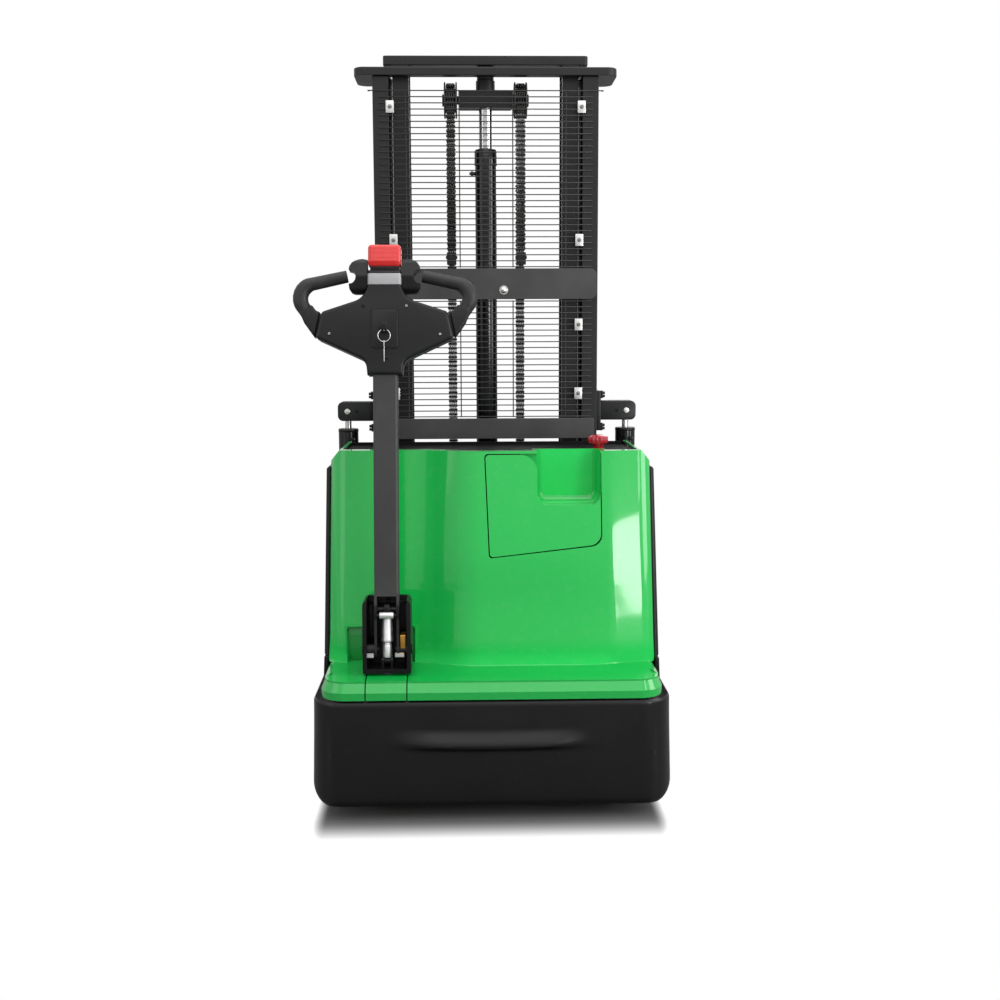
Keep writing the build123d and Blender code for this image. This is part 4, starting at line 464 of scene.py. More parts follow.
class Shape:
    """A bmesh in the truck's millimetres, shaped by operators, that ends as a piece riding on a body."""

    def __init__(self) -> None:
        """Start empty."""
        self.mesh = bmesh.new()

    def box(self, low: Point, high: Point, bevel: float = 0.0, segments: int = 2) -> None:
        """Add a box between two corners, with bevelled edges if asked.

        Args:
            low: lowest corner.
            high: highest corner.
            bevel: width of the bevel.
            segments: its steps.
        """
        middle = (Vector(low) + Vector(high)) / 2
        size = Vector(high) - Vector(low)
        place = Matrix.Translation(middle) @ Matrix.Diagonal((abs(size.x), abs(size.y), abs(size.z), 1.0))
        verts = bmesh.ops.create_cube(self.mesh, size=1.0, matrix=place)["verts"]
        if bevel:
            self.round_edges(verts, bevel, segments, 30.0)

    def pin(self, axis: Axis, start: float, end: float, at: Flat, radius: float, segments: int,
            bevel: float = 0.0) -> None:
        """Add a round bar parallel to an axis.

        Args:
            axis: its direction.
            start: level of its first end.
            end: level of its other end.
            at: its place in the other two directions.
            radius: its radius.
            segments: sides of the circle.
            bevel: width of the bevel on both rims.
        """
        run = axis.value * (end - start)
        turn = run.to_track_quat("Z", "Y").to_matrix().to_4x4()
        place = Matrix.Translation((Vector(spot(axis, at, start)) + Vector(spot(axis, at, end))) / 2) @ turn
        verts = bmesh.ops.create_cone(self.mesh, cap_ends=True, segments=segments, radius1=radius,
                                      radius2=radius, depth=run.length, matrix=place)["verts"]
        if bevel:
            self.round_edges(verts, bevel, 2, 60.0)

    def slice(self, axis: Axis, levels: Iterable[float]) -> None:
        """Cut edge loops across everything at some levels along an axis."""
        for level in levels:
            geom = list(self.mesh.verts) + list(self.mesh.edges) + list(self.mesh.faces)
            bmesh.ops.bisect_plane(self.mesh, geom=geom, dist=ON_PLANE, plane_co=axis.value * level,
                                   plane_no=axis.value)

    def data(self) -> bpy.types.Mesh:
        """A mesh with the present form."""
        made = bpy.data.meshes.new("Blank")
        self.mesh.to_mesh(made)
        return made

    def add(self, other: "Shape") -> None:
        """Add a copy of another shape's present form."""
        copy = other.data()
        self.mesh.from_mesh(copy)
        bpy.data.meshes.remove(copy)

    def lathe(self, profile: Sequence[Flat], origin: Point, axis: Axis = Axis.Z, segments: int = 48) -> None:
        """Spin a profile round an axis.

        Args:
            profile: (radius, height) points; ends at radius 0 close the shape.
            origin: point on the axis at height 0.
            axis: direction of the axis.
            segments: steps of the full turn.
        """
        turn = Axis.Z.value.rotation_difference(axis.value).to_matrix().to_4x4()
        place = Matrix.Translation(origin) @ turn
        verts = [self.mesh.verts.new(place @ Vector((radius, 0.0, height))) for radius, height in profile]
        edges = [self.mesh.edges.new(pair) for pair in zip(verts, verts[1:])]
        spun = bmesh.ops.spin(self.mesh, geom=verts + edges, cent=origin, axis=axis.value, dvec=(0, 0, 0),
                              angle=math.tau, steps=segments, use_merge=True, use_duplicate=False)
        new = [item for item in spun["geom_last"] if isinstance(item, bmesh.types.BMVert)]
        bmesh.ops.remove_doubles(self.mesh, verts=self.island(verts + new), dist=TOUCH)
        self.face_out(self.island([vert for vert in verts if vert.is_valid]))

    def prism(self, outline: Sequence[Flat], axis: Axis, start: float,
              end: float) -> list[bmesh.types.BMVert]:
        """Extrude a flat outline.

        Args:
            outline: corners as (y, z) along X, (x, z) along Y or (x, y) along Z.
            axis: direction of the extrusion.
            start: its first level.
            end: its last level.

        Returns:
            The vertices of the first level, then those of the last.
        """
        verts = [self.mesh.verts.new(spot(axis, flat, start)) for flat in outline]
        face = self.mesh.faces.new(verts)
        moved = bmesh.ops.extrude_face_region(self.mesh, geom=[face], use_keep_orig=True)["geom"]
        far = [item for item in moved if isinstance(item, bmesh.types.BMVert)]
        bmesh.ops.translate(self.mesh, vec=axis.value * (end - start), verts=far)
        self.face_out(verts + far)
        return verts + far

    def tube(self, points: Sequence[Point], radii: Sequence[float] | float, closed: bool = False,
             sides: int = 6) -> None:
        """Sweep a circle along a line of points.

        Args:
            points: the centre line.
            radii: one radius, or one for each point.
            closed: joins the last point to the first.
            sides: quarter steps of the circle.
        """
        curve = bpy.data.curves.new("Line", "CURVE")
        curve.dimensions, curve.bevel_depth, curve.bevel_resolution = "3D", 1.0, sides - 2
        curve.use_fill_caps = not closed
        spline = curve.splines.new("POLY")
        spline.points.add(len(points) - 1)
        spline.use_cyclic_u = closed
        for number, (knot, place) in enumerate(zip(spline.points, points)):
            knot.co = (*place, 1.0)
            knot.radius = radii if isinstance(radii, (int, float)) else radii[number]
        holder = bpy.data.objects.new("Line", curve)
        before = set(self.mesh.verts)
        data = holder.to_mesh()
        self.mesh.from_mesh(data)
        holder.to_mesh_clear()
        bpy.data.objects.remove(holder)
        bpy.data.curves.remove(curve)
        verts = [vert for vert in self.mesh.verts if vert not in before]
        bmesh.ops.remove_doubles(self.mesh, verts=verts, dist=TOUCH)

    def bend_edges(self, chosen: Callable[[Vector], bool], axis: Axis, width: float, segments: int) -> None:
        """Round the edges along an axis whose both ends pass a test.

        Args:
            chosen: test of an end's place.
            axis: direction of the edges.
            width: width of the rounding.
            segments: its steps.
        """
        edges = [edge for edge in self.mesh.edges if all(chosen(vert.co) for vert in edge.verts)
                 and abs((edge.verts[0].co - edge.verts[1].co).normalized().dot(axis.value)) > 0.9]
        bevel_edges(self.mesh, edges, width, segments)

    def rim(self, chosen: Callable[[Vector], bool], width: float, segments: int,
            sharp: float = 40.0) -> None:
        """Round the sharp edges whose both ends pass a test."""
        edges = [edge for edge in self.mesh.edges if all(chosen(vert.co) for vert in edge.verts)
                 and edge.calc_face_angle(0.0) > math.radians(sharp)]
        bevel_edges(self.mesh, edges, width, segments)

    def seat(self, angle: float, at: Point) -> "Shape":
        """Turn everything about X, in degrees, and move it to a place."""
        self.turn(self.mesh.verts, angle, Axis.X, (0.0, 0.0, 0.0))
        bmesh.ops.translate(self.mesh, vec=at, verts=self.mesh.verts)
        return self

    def round_edges(self, verts: Sequence[bmesh.types.BMVert], width: float, segments: int,
                    sharp: float) -> None:
        """Bevel the edges among some vertices that are sharper than an angle in degrees."""
        chosen = set(verts)
        edges = [edge for edge in {e for vert in verts for e in vert.link_edges}
                 if edge.verts[0] in chosen and edge.verts[1] in chosen
                 and edge.calc_face_angle(0.0) > math.radians(sharp)]
        bevel_edges(self.mesh, edges, width, segments)

    def island(self, seeds: Iterable[bmesh.types.BMVert]) -> list[bmesh.types.BMVert]:
        """All vertices that are joined by edges to the given ones."""
        found = set(seeds)
        queue = list(found)
        while queue:
            for edge in queue.pop().link_edges:
                for vert in edge.verts:
                    if vert not in found:
                        found.add(vert)
                        queue.append(vert)
        return list(found)

    def face_out(self, verts: Sequence[bmesh.types.BMVert] | None = None) -> None:
        """Make the faces of some vertices, or all faces, point outwards."""
        faces = self.mesh.faces if verts is None else {face for vert in verts for face in vert.link_faces}
        bmesh.ops.recalc_face_normals(self.mesh, faces=list(faces))

    def turn(self, verts: Sequence[bmesh.types.BMVert], angle: float, axis: Axis, about: Point) -> None:
        """Turn vertices about an axis through a point, in degrees."""
        bmesh.ops.rotate(self.mesh, verts=list(verts), cent=about,
                         matrix=Matrix.Rotation(math.radians(angle), 3, axis.value))

    def piece(self, name: str, finish: Finish, body: str, replaces: Sequence[str] = (),
              smooth: float = 40.0) -> bpy.types.Object:
        """End as a piece of the scene.

        Args:
            name: the piece's name.
            finish: its finish.
            body: the CAD body that it rides on.
            replaces: CAD nodes that it stands for.
            smooth: angle in degrees above which an edge stays sharp.

        Returns:
            The new object.
        """
        bmesh.ops.translate(self.mesh, vec=(OFFSET_X, 0.0, 0.0), verts=self.mesh.verts)
        bmesh.ops.scale(self.mesh, vec=(MM, MM, MM), verts=self.mesh.verts)
        data = bpy.data.meshes.new(name)
        self.mesh.to_mesh(data)
        self.mesh.free()
        return settle(name, data, finish, body, replaces, smooth)


def settle(name: str, data: bpy.types.Mesh, finish: Finish, body: str, replaces: Sequence[str] = (),
           smooth: float = 40.0) -> bpy.types.Object:
    """Make an object of a mesh, shade it and let it ride on a body.

    Args:
        name: the piece's name.
        data: its mesh, in metres.
        finish: its finish.
        body: the CAD body that it rides on; empty for a piece that rides on none.
        replaces: CAD nodes that it stands for.
        smooth: angle in degrees above which an edge stays sharp.

    Returns:
        The new object.
    """
    data.polygons.foreach_set("use_smooth", [True] * len(data.polygons))
    data.set_sharp_from_angle(angle=math.radians(smooth))
    data.materials.append(finish.material())
    made = bpy.data.objects.new(name, data)
    bpy.context.collection.objects.link(made)
    if body:
        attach(made, body)
    if replaces:
        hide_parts(*replaces)
    LOG.info("piece %s: %d faces on %s", name, len(data.polygons), body)
    return made


def even_normals(made: bpy.types.Object) -> None:
    """Weight a piece's normals by the area of its faces and keep its sharp edges."""
    made.modifiers.new("Even normals", "WEIGHTED_NORMAL").keep_sharp = True


def merged_copy(node: str) -> bmesh.types.BMesh:
    """A copy of a CAD node's mesh with its corners welded and its coplanar triangles joined."""
    work = bmesh.new()
    work.from_mesh(bpy.data.objects[node].data)
    bmesh.ops.remove_doubles(work, verts=work.verts, dist=WELD)
    bmesh.ops.dissolve_limit(work, angle_limit=math.radians(COPLANAR), verts=work.verts, edges=work.edges)
    return work


def softened(node: str, finish: Finish, body: str, width: float = 1.2, segments: int = 2, sharp: float = 28.0,
             name: str = "") -> bpy.types.Object:
    """A copy of a CAD node with its coplanar triangles joined and its sharp edges rounded.

    Args:
        node: the CAD node that the copy stands for.
        finish: finish of the copy.
        body: body of the node.
        width: width of the rounding in millimetres.
        segments: its steps.
        sharp: angle in degrees from which an edge is rounded.
        name: name of the copy, made from the node's if left out.

    Returns:
        The new object.
    """
    work = merged_copy(node)
    edges = [edge for edge in work.edges if edge.calc_face_angle(0.0) > math.radians(sharp)]
    bevel_edges(work, edges, width * MM, segments)
    bmesh.ops.remove_doubles(work, verts=work.verts, dist=WELD)
    data = bpy.data.meshes.new(name or f"{node}_finished")
    work.to_mesh(data)
    work.free()
    made = settle(data.name, data, finish, body, (node,))
    even_normals(made)
    return made


def dress(node: str, finish: Finish) -> None:
    """Give a carried-over CAD node its finish."""
    slots = bpy.data.objects[node].data.materials
    slots.clear()
    slots.append(finish.material())


def carve(target: Shape, cutter: Shape, operation: str = "DIFFERENCE") -> Shape:
    """Cut, join or intersect two shapes.

    Args:
        target: the shape that is changed; it is used up.
        cutter: the other shape; it is kept.
        operation: DIFFERENCE, UNION or INTERSECT.

    Returns:
        The result as a new shape.
    """
    made = []
    for shape in (target, cutter):
        made.append(bpy.data.objects.new("Blank", shape.data()))
        bpy.context.collection.objects.link(made[-1])
    step = made[0].modifiers.new("Cut", "BOOLEAN")
    step.object, step.operation, step.solver = made[1], operation, "EXACT"
    result = Shape()
    cut = made[0].evaluated_get(bpy.context.evaluated_depsgraph_get()).to_mesh()
    result.mesh.from_mesh(cut)
    made[0].to_mesh_clear()
    for item in made:
        data = item.data
        bpy.data.objects.remove(item)
        bpy.data.meshes.remove(data)
    target.mesh.free()
    bmesh.ops.remove_doubles(result.mesh, verts=result.mesh.verts, dist=TOUCH)
    return result


@dataclass
class Covers:
    """Lacquered hood with its ledge, access panel and pocket, and the black bumper below."""

    half_low: float = 414.0
    half_top: float = 408.0
    face_low: float = -890.0
    face_top: float = -800.0
    front: float = -475.0
    ledge: float = 350.0
    top: float = 875.0
    step: float = 45.0
    step_low: Flat = (-172.0, -60.0)
    step_top: Flat = (-162.0, -56.0)
    niche: Flat = (-362.0, -192.0)
    corner: float = 60.0
    corner_right: float = 34.0
    pillar: tuple[float, float, float] = (302.0, 390.0, 0.21)          # start, end and slope across
    wall: float = 4.0
    crown: float = 9.0
    flare: float = 13.0
    door: tuple[float, float, float, float] = (-12.0, 277.0, 614.0, 30.0)  # left, right, foot and its rise
    door_lean: float = 10.0
    door_top: float = 866.0
    pocket_left: float = 118.0
    pocket_low: float = 742.0
    pocket_back: float = -738.0
    rear: float = -1035.0
    half: float = 440.0
    steer_x: float = -255.0
    steer_y: float = -910.0
    seams: float = 2.8

    def build(self) -> None:
        """Make the hood, the ledge and the bumper."""
        self.hood()
        self.base()
        self.bumper()

    def skin(self, inset: float) -> Shape:
        """Closed form of the hood, crowned and with rounded upright edges.

        Args:
            inset: how far it lies inside the outer surface.

        Returns:
            The form as a new shape.
        """
        shape = Shape()

        def ring(low: bool) -> list[Flat]:
            """Corners of the plan outline at the foot or the top."""
            half = (self.half_low if low else self.half_top) - inset
            face = (self.face_low if low else self.face_top) + inset
            back = self.front + (1.0 if inset else 0.0)
            start, end = self.step_low if low else self.step_top
            return [(-half, back), (-half, face + self.step), (start, face + self.step), (end, face),
                    (half, face), (half, back)]

        foot = self.ledge - self.wall - inset
        verts = shape.prism(ring(True), Axis.Z, foot, self.top - inset)
        for vert, place in zip(verts[len(ring(True)):], ring(False)):
            vert.co.xy = place
        for place, width in ((1, self.corner - inset), (2, 30.0), (3, 30.0), (4, self.corner_right - inset)):
            x, y = ring(True)[place]
            upright = [e for e in shape.mesh.edges if abs(e.verts[0].co.z - e.verts[1].co.z) > 100.0
                       and min((v.co - Vector((x, y, foot))).length for v in e.verts) < 1.0]
            bevel_edges(shape.mesh, upright, width, 14)
        shape.slice(Axis.X, [-380.0 + 40.0 * n for n in range(17)]
                    + [292.0 + 8.0 * n for n in range(12)])
        shape.slice(Axis.Z, [352.0, 356.0, 362.0, 370.0, 380.0] + [396.0 + 36.0 * n for n in range(14)])
        for vert in shape.mesh.verts:
            across = vert.co.x / self.half_low
            up = (vert.co.z - self.ledge) / (self.top - self.ledge)
            inner = smoothstep(self.front - 60.0, self.front - 200.0, vert.co.y)
            bulge = (1.0 - across * across) * (1.0 - (2.0 * up - 1.0) ** 2 * 0.8)
            vert.co.y -= self.crown * (bulge * smoothstep(470.0, 620.0, vert.co.z)) * inner
            start, end, slope = self.pillar
            beyond = min(end, vert.co.x) - start
            vert.co.y += slope * (beyond + math.hypot(beyond, 14.0)) / 2.0 * inner
            foot_share = max(0.0, 1.0 - (vert.co.z - self.ledge) / 34.0) * smoothstep(345.0, 250.0, vert.co.x)
            vert.co.y -= self.flare * foot_share ** 2 * inner
        for side in (-1.0, 1.0):
            reach = self.half_top - 25.0 - 1.5 * inset
            wedge = Shape()
            wedge.prism([(side * (reach - 20.0), self.top + 24.0), (side * 480.0, self.top + 24.0),
                         (side * 480.0, self.top - 1.2 * (480.0 - reach))],
                        Axis.Y, self.rear, self.front + 20.0)
            shape = carve(shape, wedge)
        return shape

    def door_form(self, grow: float) -> Shape:
        """Prism of the access panel's outline, grown by a seam."""
        left, right, low, slope = self.door
        shape = Shape()
        foot = left + self.door_lean - grow
        high = self.door_top + grow
        corners = [(foot, low - grow), (right + grow, low + slope - grow), (left - grow, high)]
        shape.prism([*corners[:2], (right + grow, high), corners[2]], Axis.Y, self.rear, self.face_top + 6.0)
        for (x, z), width in zip(corners, (9.0, 26.0, 10.0)):
            shape.bend_edges(lambda at: abs(at.x - x) < 0.1 and abs(at.z - z) < 0.1, Axis.Y, width, 8)
        return shape

    def pocket_form(self, grow: float) -> Shape:
        """Form of the storage pocket, open upwards and to the operator."""
        shape = Shape()
        shape.box((self.pocket_left - grow, self.rear, self.pocket_low - grow),
                  (self.door[1] + grow, self.pocket_back + grow, self.top + 40.0))
        shape.bend_edges(lambda at: at.z < self.top, Axis.Y, 26.0 + grow, 8)
        shape.rim(lambda at: at.y > self.pocket_back - 1.0, 20.0 + grow, 8)
        return shape

    def hood(self) -> None:
        """Hood, access panel and the rim round the console."""
        inside = carve(self.skin(self.wall), self.pocket_form(self.wall))
        shell = carve(carve(self.skin(0.0), self.pocket_form(0.0)), inside)
        niche = Shape()
        left, right = self.niche
        niche.box((left, self.rear, 300.0), (right, self.face_low + 56.0, 437.0), 5.0, 3)
        backing = Shape()
        backing.box((left - 4.0, self.face_low + 47.0, 346.5), (right + 4.0, self.face_low + 60.0, 441.0))
        behind = Shape()
        behind.box((self.pocket_left - 42.0, self.face_top + 6.0, 812.0),
                   (self.pocket_left, self.face_top + 12.0, self.top - 2.0))
        shell = carve(carve(carve(shell, backing, "UNION"), niche), behind, "UNION")
        console = Shape()
        console.prism([(-376.0, self.front + 4.0), (-376.0, -723.0), (-155.0, -723.0), (-50.0, -768.0),
                       (self.pocket_left - 9.0, -768.0), (self.pocket_left - 9.0, self.pocket_back + 9.0),
                       (294.0, self.pocket_back + 9.0), (294.0, -768.0), (376.0, -768.0),
                       (376.0, self.front + 4.0)], Axis.Z, 820.0, self.top + 40.0)
        shell = carve(shell, console)
        panel = Shape()
        panel.add(shell)
        shell = carve(shell, self.door_form(self.seams))
        panel = carve(panel, self.door_form(0.0), "INTERSECT")
        panel = carve(panel, self.round_off((self.pocket_left, self.door_top), 42.0))
        self.lining()
        self.lacquer(shell, "hood_shell", "hood")
        # painted shade: a thin sheet of darker green set in the niche
        niche_shade_sheet = Shape()
        niche_shade_sheet.box((left + 4.0, self.face_low + 53.6, 352.0), (right - 4.0, self.face_low + 56.0, 434.0), 1.0)
        niche_shade_sheet.piece("niche_shade_panel", Finishes.shade, "chassis")
        self.lacquer(panel, "access_panel_skin", "access_panel")

    def lining(self) -> None:
        """Smooth insert that lines the storage pocket, in the lighter green that paints light into the
        pocket.
        """
        form = carve(self.pocket_form(-0.1), self.pocket_form(-1.4))
        room = Shape()
        room.box((self.pocket_left - 9.0, self.face_top + 7.0, self.pocket_low - 9.0),
                 (self.door[1] + 9.0, self.pocket_back + 9.0, self.top - 1.0))
        form = carve(form, room, "INTERSECT")
        form.face_out()
        # painted light: the lining's lighter green stands for light in the pocket
        form.piece("pocket_lining_painted_light", Finishes.pocket, "chassis")

    def round_off(self, corner: Flat, radius: float) -> Shape:
        """Cutter that rounds an upper right corner, given as (x, z)."""
        x, z = corner
        shape, keep = Shape(), Shape()
        shape.box((x - radius, self.rear, z - radius), (x + 6.0, self.face_top + 30.0, z + 6.0))
        keep.pin(Axis.Y, self.rear - 9.0, self.pocket_back + 30.0, (x - radius, z - radius), radius, 48)
        return carve(shape, keep)

    @staticmethod
    def lacquer(shape: Shape, name: str, node: str, finish: Finish = Finishes.green) -> None:
        """Round a cover's edges and finish it in lacquer, green if no other is given."""
        shape.face_out()
        made = shape.piece(name, finish, "chassis", (node,), 24.0)
        soft = made.modifiers.new("Soft edges", "BEVEL")
        soft.limit_method, soft.angle_limit = "ANGLE", math.radians(38.0)
        soft.width, soft.segments, soft.harden_normals = 1.8 * MM, 3, True
        even_normals(made)

    def base(self) -> None:
        """Ledge round the hood's foot with the small cover below the tiller."""
        form = self.plate(self.half - 25.0, self.rear + 16.0, 298.3, self.ledge, 62.0, 4)
        hollow = self.plate(self.half - 29.0, self.rear + 20.0, 290.0, self.ledge - 4.0, 58.0, 2)
        form = carve(form, hollow)
        column = Shape()
        column.pin(Axis.Z, 280.0, 360.0, (self.steer_x, self.steer_y), 43.0, 48)
        form = carve(form, column)
        cover = Shape()
        cover.add(form)
        strip, gap = Shape(), Shape()
        for shape, half in ((strip, 48.5), (gap, 48.5 + self.seams)):
            shape.box((self.steer_x - half, self.rear, 280.0), (self.steer_x + half, self.steer_y, 360.0))
        form, cover = carve(form, gap), carve(cover, strip, "INTERSECT")
        # the ledge and the cover below the tiller take the darker green, painted shade
        made = form.piece("ledge_shell", Finishes.ledge, "chassis", (), 30.0)
        even_normals(made)
        self.lacquer(cover, "tiller_cover_skin", "tiller_cover", Finishes.ledge)

    def plate(self, half: float, rear: float, low: float, high: float, corner: float, segments: int) -> Shape:
        """Cover rounded at the operator's end: upright lip, sloping bevel and a top that rises to the hood.

        Args:
            half: half its width.
            rear: its rear face.
            low: its underside.
            high: its top.
            corner: radius of its rear corners.
            segments: steps of the rounding along its creases.

        Returns:
            The plate as a new shape.
        """
        shape = Shape()
        shape.box((-half, rear, low), (half, self.rear + 430.0, high))
        shape.bend_edges(lambda at: at.y < rear + 1.0, Axis.Z, corner, 16)
        creases = (high - 37.0, high - 9.0)
        shape.slice(Axis.Z, creases)
        for vert in shape.mesh.verts:
            slope = smoothstep(creases[0] + 1.0, creases[1], vert.co.z)
            rise = smoothstep(creases[1] + 1.0, high, vert.co.z)
            beside = max(0.0, abs(vert.co.x) - half + corner) / corner
            behind = max(0.0, rear + corner - vert.co.y) / corner
            vert.co.x -= math.copysign((9.0 * slope + 14.0 * rise) * beside, vert.co.x)
            vert.co.y += (13.0 * slope + 88.0 * rise) * behind
        rim = [e for e in shape.mesh.edges
               if any(all(abs(v.co.z - level) < 0.1 for v in e.verts) for level in creases)]
        bevel_edges(shape.mesh, rim, 4.0, segments)
        return shape

    def ridge(self, x: float, z: float) -> float:
        """How far the bumper's long ridge stands out at a place on its rear face."""
        along = smoothstep(256.0, 130.0, abs(x + 4.0))
        middle = 187.0 + 4.0 * smoothstep(0.0, 250.0, abs(x + 4.0))
        lift = smoothstep(middle + 38.0, middle, z) if z > middle else smoothstep(middle - 18.0, middle, z)
        return 16.0 * along * lift

    def bumper(self) -> None:
        """Black bumper skirt with the long ridge, which leans in a little towards its top."""
        def wall(inset: float) -> Shape:
            """Closed form of the skirt, with rounded corners and rims."""
            shape = Shape()
            shape.box((-self.half + inset, self.rear + 13.0 + inset, 30.0 - inset * 0.5),
                      (self.half - inset, self.rear + 430.0 + inset, 298.0 + inset * 0.5))
            shape.bend_edges(lambda at: at.y < self.rear + 60.0, Axis.Z, 74.0 - inset, 14)
            for low, width in ((True, 20.0), (False, 15.0)):
                rim = [e for e in shape.mesh.edges if all((v.co.z < 60.0) == low for v in e.verts)
                       and not all(v.co.y > self.rear + 429.0 for v in e.verts)]
                bevel_edges(shape.mesh, rim, width, 6)
            return shape

        outer = wall(0.0)
        outer.slice(Axis.X, [-380.0 + 20.0 * n for n in range(39)])
        outer.slice(Axis.Z, [60.0 + 4.0 * n for n in range(56)])
        for vert in outer.mesh.verts:
            spread = smoothstep(298.0, 40.0, vert.co.z)
            if vert.co.y < self.rear + 20.0:
                swell = 6.0 * math.sin(math.pi * (vert.co.z - 30.0) / 268.0)
                vert.co.y -= self.ridge(vert.co.x, vert.co.z) + swell
            vert.co.y += 4.0 * (1.0 - spread)
            vert.co.x *= 1.0 - 0.010 * (1.0 - spread)
            edge = max(0.0, min(44.0, abs(vert.co.x) - self.half + 45.0))
            if vert.co.z < 110.0:
                vert.co.z += (45.0 - math.sqrt(45.0 ** 2 - edge ** 2)) * (110.0 - vert.co.z) / 80.0
        inner = wall(8.0)
        shell = carve(outer, inner)
        made = shell.piece("bumper_skirt", Finishes.bumper, "chassis", ("skirt",), 34.0)
        even_normals(made)


@dataclass
class Tiller:
    """Tiller: head with grips, throttle, belly button and key, and the foot with its gas spring."""

    pivot: Point = (-255.0, -940.0, 405.0)
    lean: float = -8.0
    foot: float = 668.0
    column: float = 40.0
    wing: float = 167.0
    shoulder: float = 254.0
    deep: float = 32.0
    throttle_up: float = 236.0
    knob: Flat = (42.0, 87.0)
    grip_up: float = 243.0
    grip_corner: Flat = (231.8, 213.0)
    grip_bend: float = 36.0
    key_up: float = 111.0
    button: Flat = (262.4, 317.0)
    spring_foot: Point = (-255.0, -940.0, 377.0)
    spring_turn: float = -6.22
    spring_reach: float = 125.8

    def build(self) -> None:
        """Make everything."""
        self.shells()
        self.band()
        for side, name in SIDES:
            self.grip(side, name)
        self.knobs()
        self.belly_button()
        self.screws()
        self.lock()
        self.rockers()
        self.foot_details()
        self.gas_spring()

    def put(self, shape: Shape, name: str, finish: Finish, body: str = "tiller", replaces: Sequence[str] = (),
            smooth: float = 40.0) -> bpy.types.Object:
        """Seat a shape drawn upright from the tiller pivot on the leaning arm and finish it."""
        return shape.seat(self.lean, self.pivot).piece(name, finish, body, replaces, smooth)

    def up(self, along: float) -> float:
        """Height above the pivot of a point given above the head's foot."""
        return self.foot + along

    def outline(self, shrink: float = 0.0) -> list[Flat]:
        """Corners of the head's front outline."""
        right = [(self.column + 3.0, 0.0), (self.column + 6.0, 33.0), (self.wing, 89.0),
                 (self.wing - 14.0, 153.0), (self.column, 190.0), (self.column, self.shoulder)]
        left = [(-x, along) for x, along in reversed(right)]
        return [(x - math.copysign(shrink, x), self.up(along)) for x, along in right + left]

    def shell(self, outer: float, inner: float, shrink: float) -> Shape:
        """One half of the head's housing.

        Args:
            outer: depth of its outer face.
            inner: depth of the face where the halves meet.
            shrink: how far it stands back from the outline.

        Returns:
            The housing half as a new shape.
        """
        shape = Shape()
        shape.prism(self.outline(shrink), Axis.Y, min(outer, inner), max(outer, inner))
        neck, low, tip = self.up(190.0), self.up(33.0), self.up(120.0)
        shape.bend_edges(lambda at: abs(at.z - neck) < 2.0, Axis.Y, 34.0, 10)
        shape.bend_edges(lambda at: abs(at.z - low) < 2.0, Axis.Y, 14.0, 6)
        shape.bend_edges(lambda at: abs(at.x) > self.wing - 25.0 and abs(at.z - tip) < 50.0, Axis.Y, 7.0, 6)
        shape.rim(lambda at: abs(at.y - outer) < 0.01, 8.0, 6)
        shape.rim(lambda at: abs(at.y - inner) < 0.01, 0.8, 2)
        return shape

    def shells(self) -> None:
        """Both housing halves with the raised key panel and the arm below them."""
        front = self.shell(-self.deep, -0.4, 0.0)
        self.put(front, "head_front", Finishes.head, replaces=("head_lower_shell",))
        self.put(self.shell(self.deep, 0.4, 1.6), "head_back", Finishes.head, replaces=("head_upper_shell",))
        panel = Shape()
        panel.box((-32.0, -self.deep - 2.2, self.up(63.0)), (32.0, -self.deep + 4.0, self.up(157.0)))
        panel.bend_edges(lambda at: True, Axis.Y, 8.0, 6)
        panel.rim(lambda at: at.y < -self.deep, 1.6, 3)
        self.put(panel, "key_panel", Finishes.head)
        # painted shade: a ring of darker plastic round the key panel stands for the groove's shade
        groove_shade_ring = Shape()
        groove_shade_ring.box((-34.2, -self.deep - 0.5, self.up(60.8)), (34.2, -self.deep + 4.0, self.up(159.2)))
        groove_shade_ring.bend_edges(lambda at: True, Axis.Y, 10.0, 6)
        self.put(groove_shade_ring, "key_panel_groove_shade", Finishes.trim)
        # the arm's paint holds painted shade below 0.515 m
        softened("tiller_arm", Finishes.arm, "tiller", 1.6, 3)

    def band(self) -> None:
        """Silver band round the head's neck."""
        shape = Shape()
        shape.box((-self.column - 0.9, -self.deep - 1.0, self.up(218.0)),
                  (self.column + 0.9, self.deep + 1.0, self.up(245.0)))
        shape.bend_edges(lambda at: True, Axis.Z, 8.0, 6)
        shape.rim(lambda at: True, 1.2, 3, 50.0)
        self.put(shape, "neck_band", Finishes.satin)

    def grip_line(self, side: float) -> tuple[list[Point], list[float]]:
        """Centre line of a loop grip and its radius at each point."""
        start = Vector((self.knob[1] + 5.0, self.grip_up))
        corner = Vector(self.grip_corner)
        end = Vector((self.wing - 16.0, 100.0))
        into, out = (corner - start).normalized(), (end - corner).normalized()
        half = math.acos(max(-1.0, min(1.0, into.dot(out)))) / 2.0
        trim = self.grip_bend * math.tan(half)
        first, last = corner - into * trim, corner + out * trim
        middle = corner + (out - into).normalized() * (self.grip_bend / math.cos(half))
        flat, wide = [start, start.lerp(first, 0.5)], [15.0, 15.6]
        for step in range(13):
            share = step / 12.0
            ray = (first - middle).lerp(last - middle, share).normalized() * self.grip_bend
            flat.append(middle + ray)
            wide.append(16.2 + 2.2 * math.sin(math.pi * share) + 1.2 * share)
        flat += [last.lerp(end, 0.35)]
        wide += [17.6]
        return [(side * at.x, 0.0, self.up(at.y)) for at in flat], wide

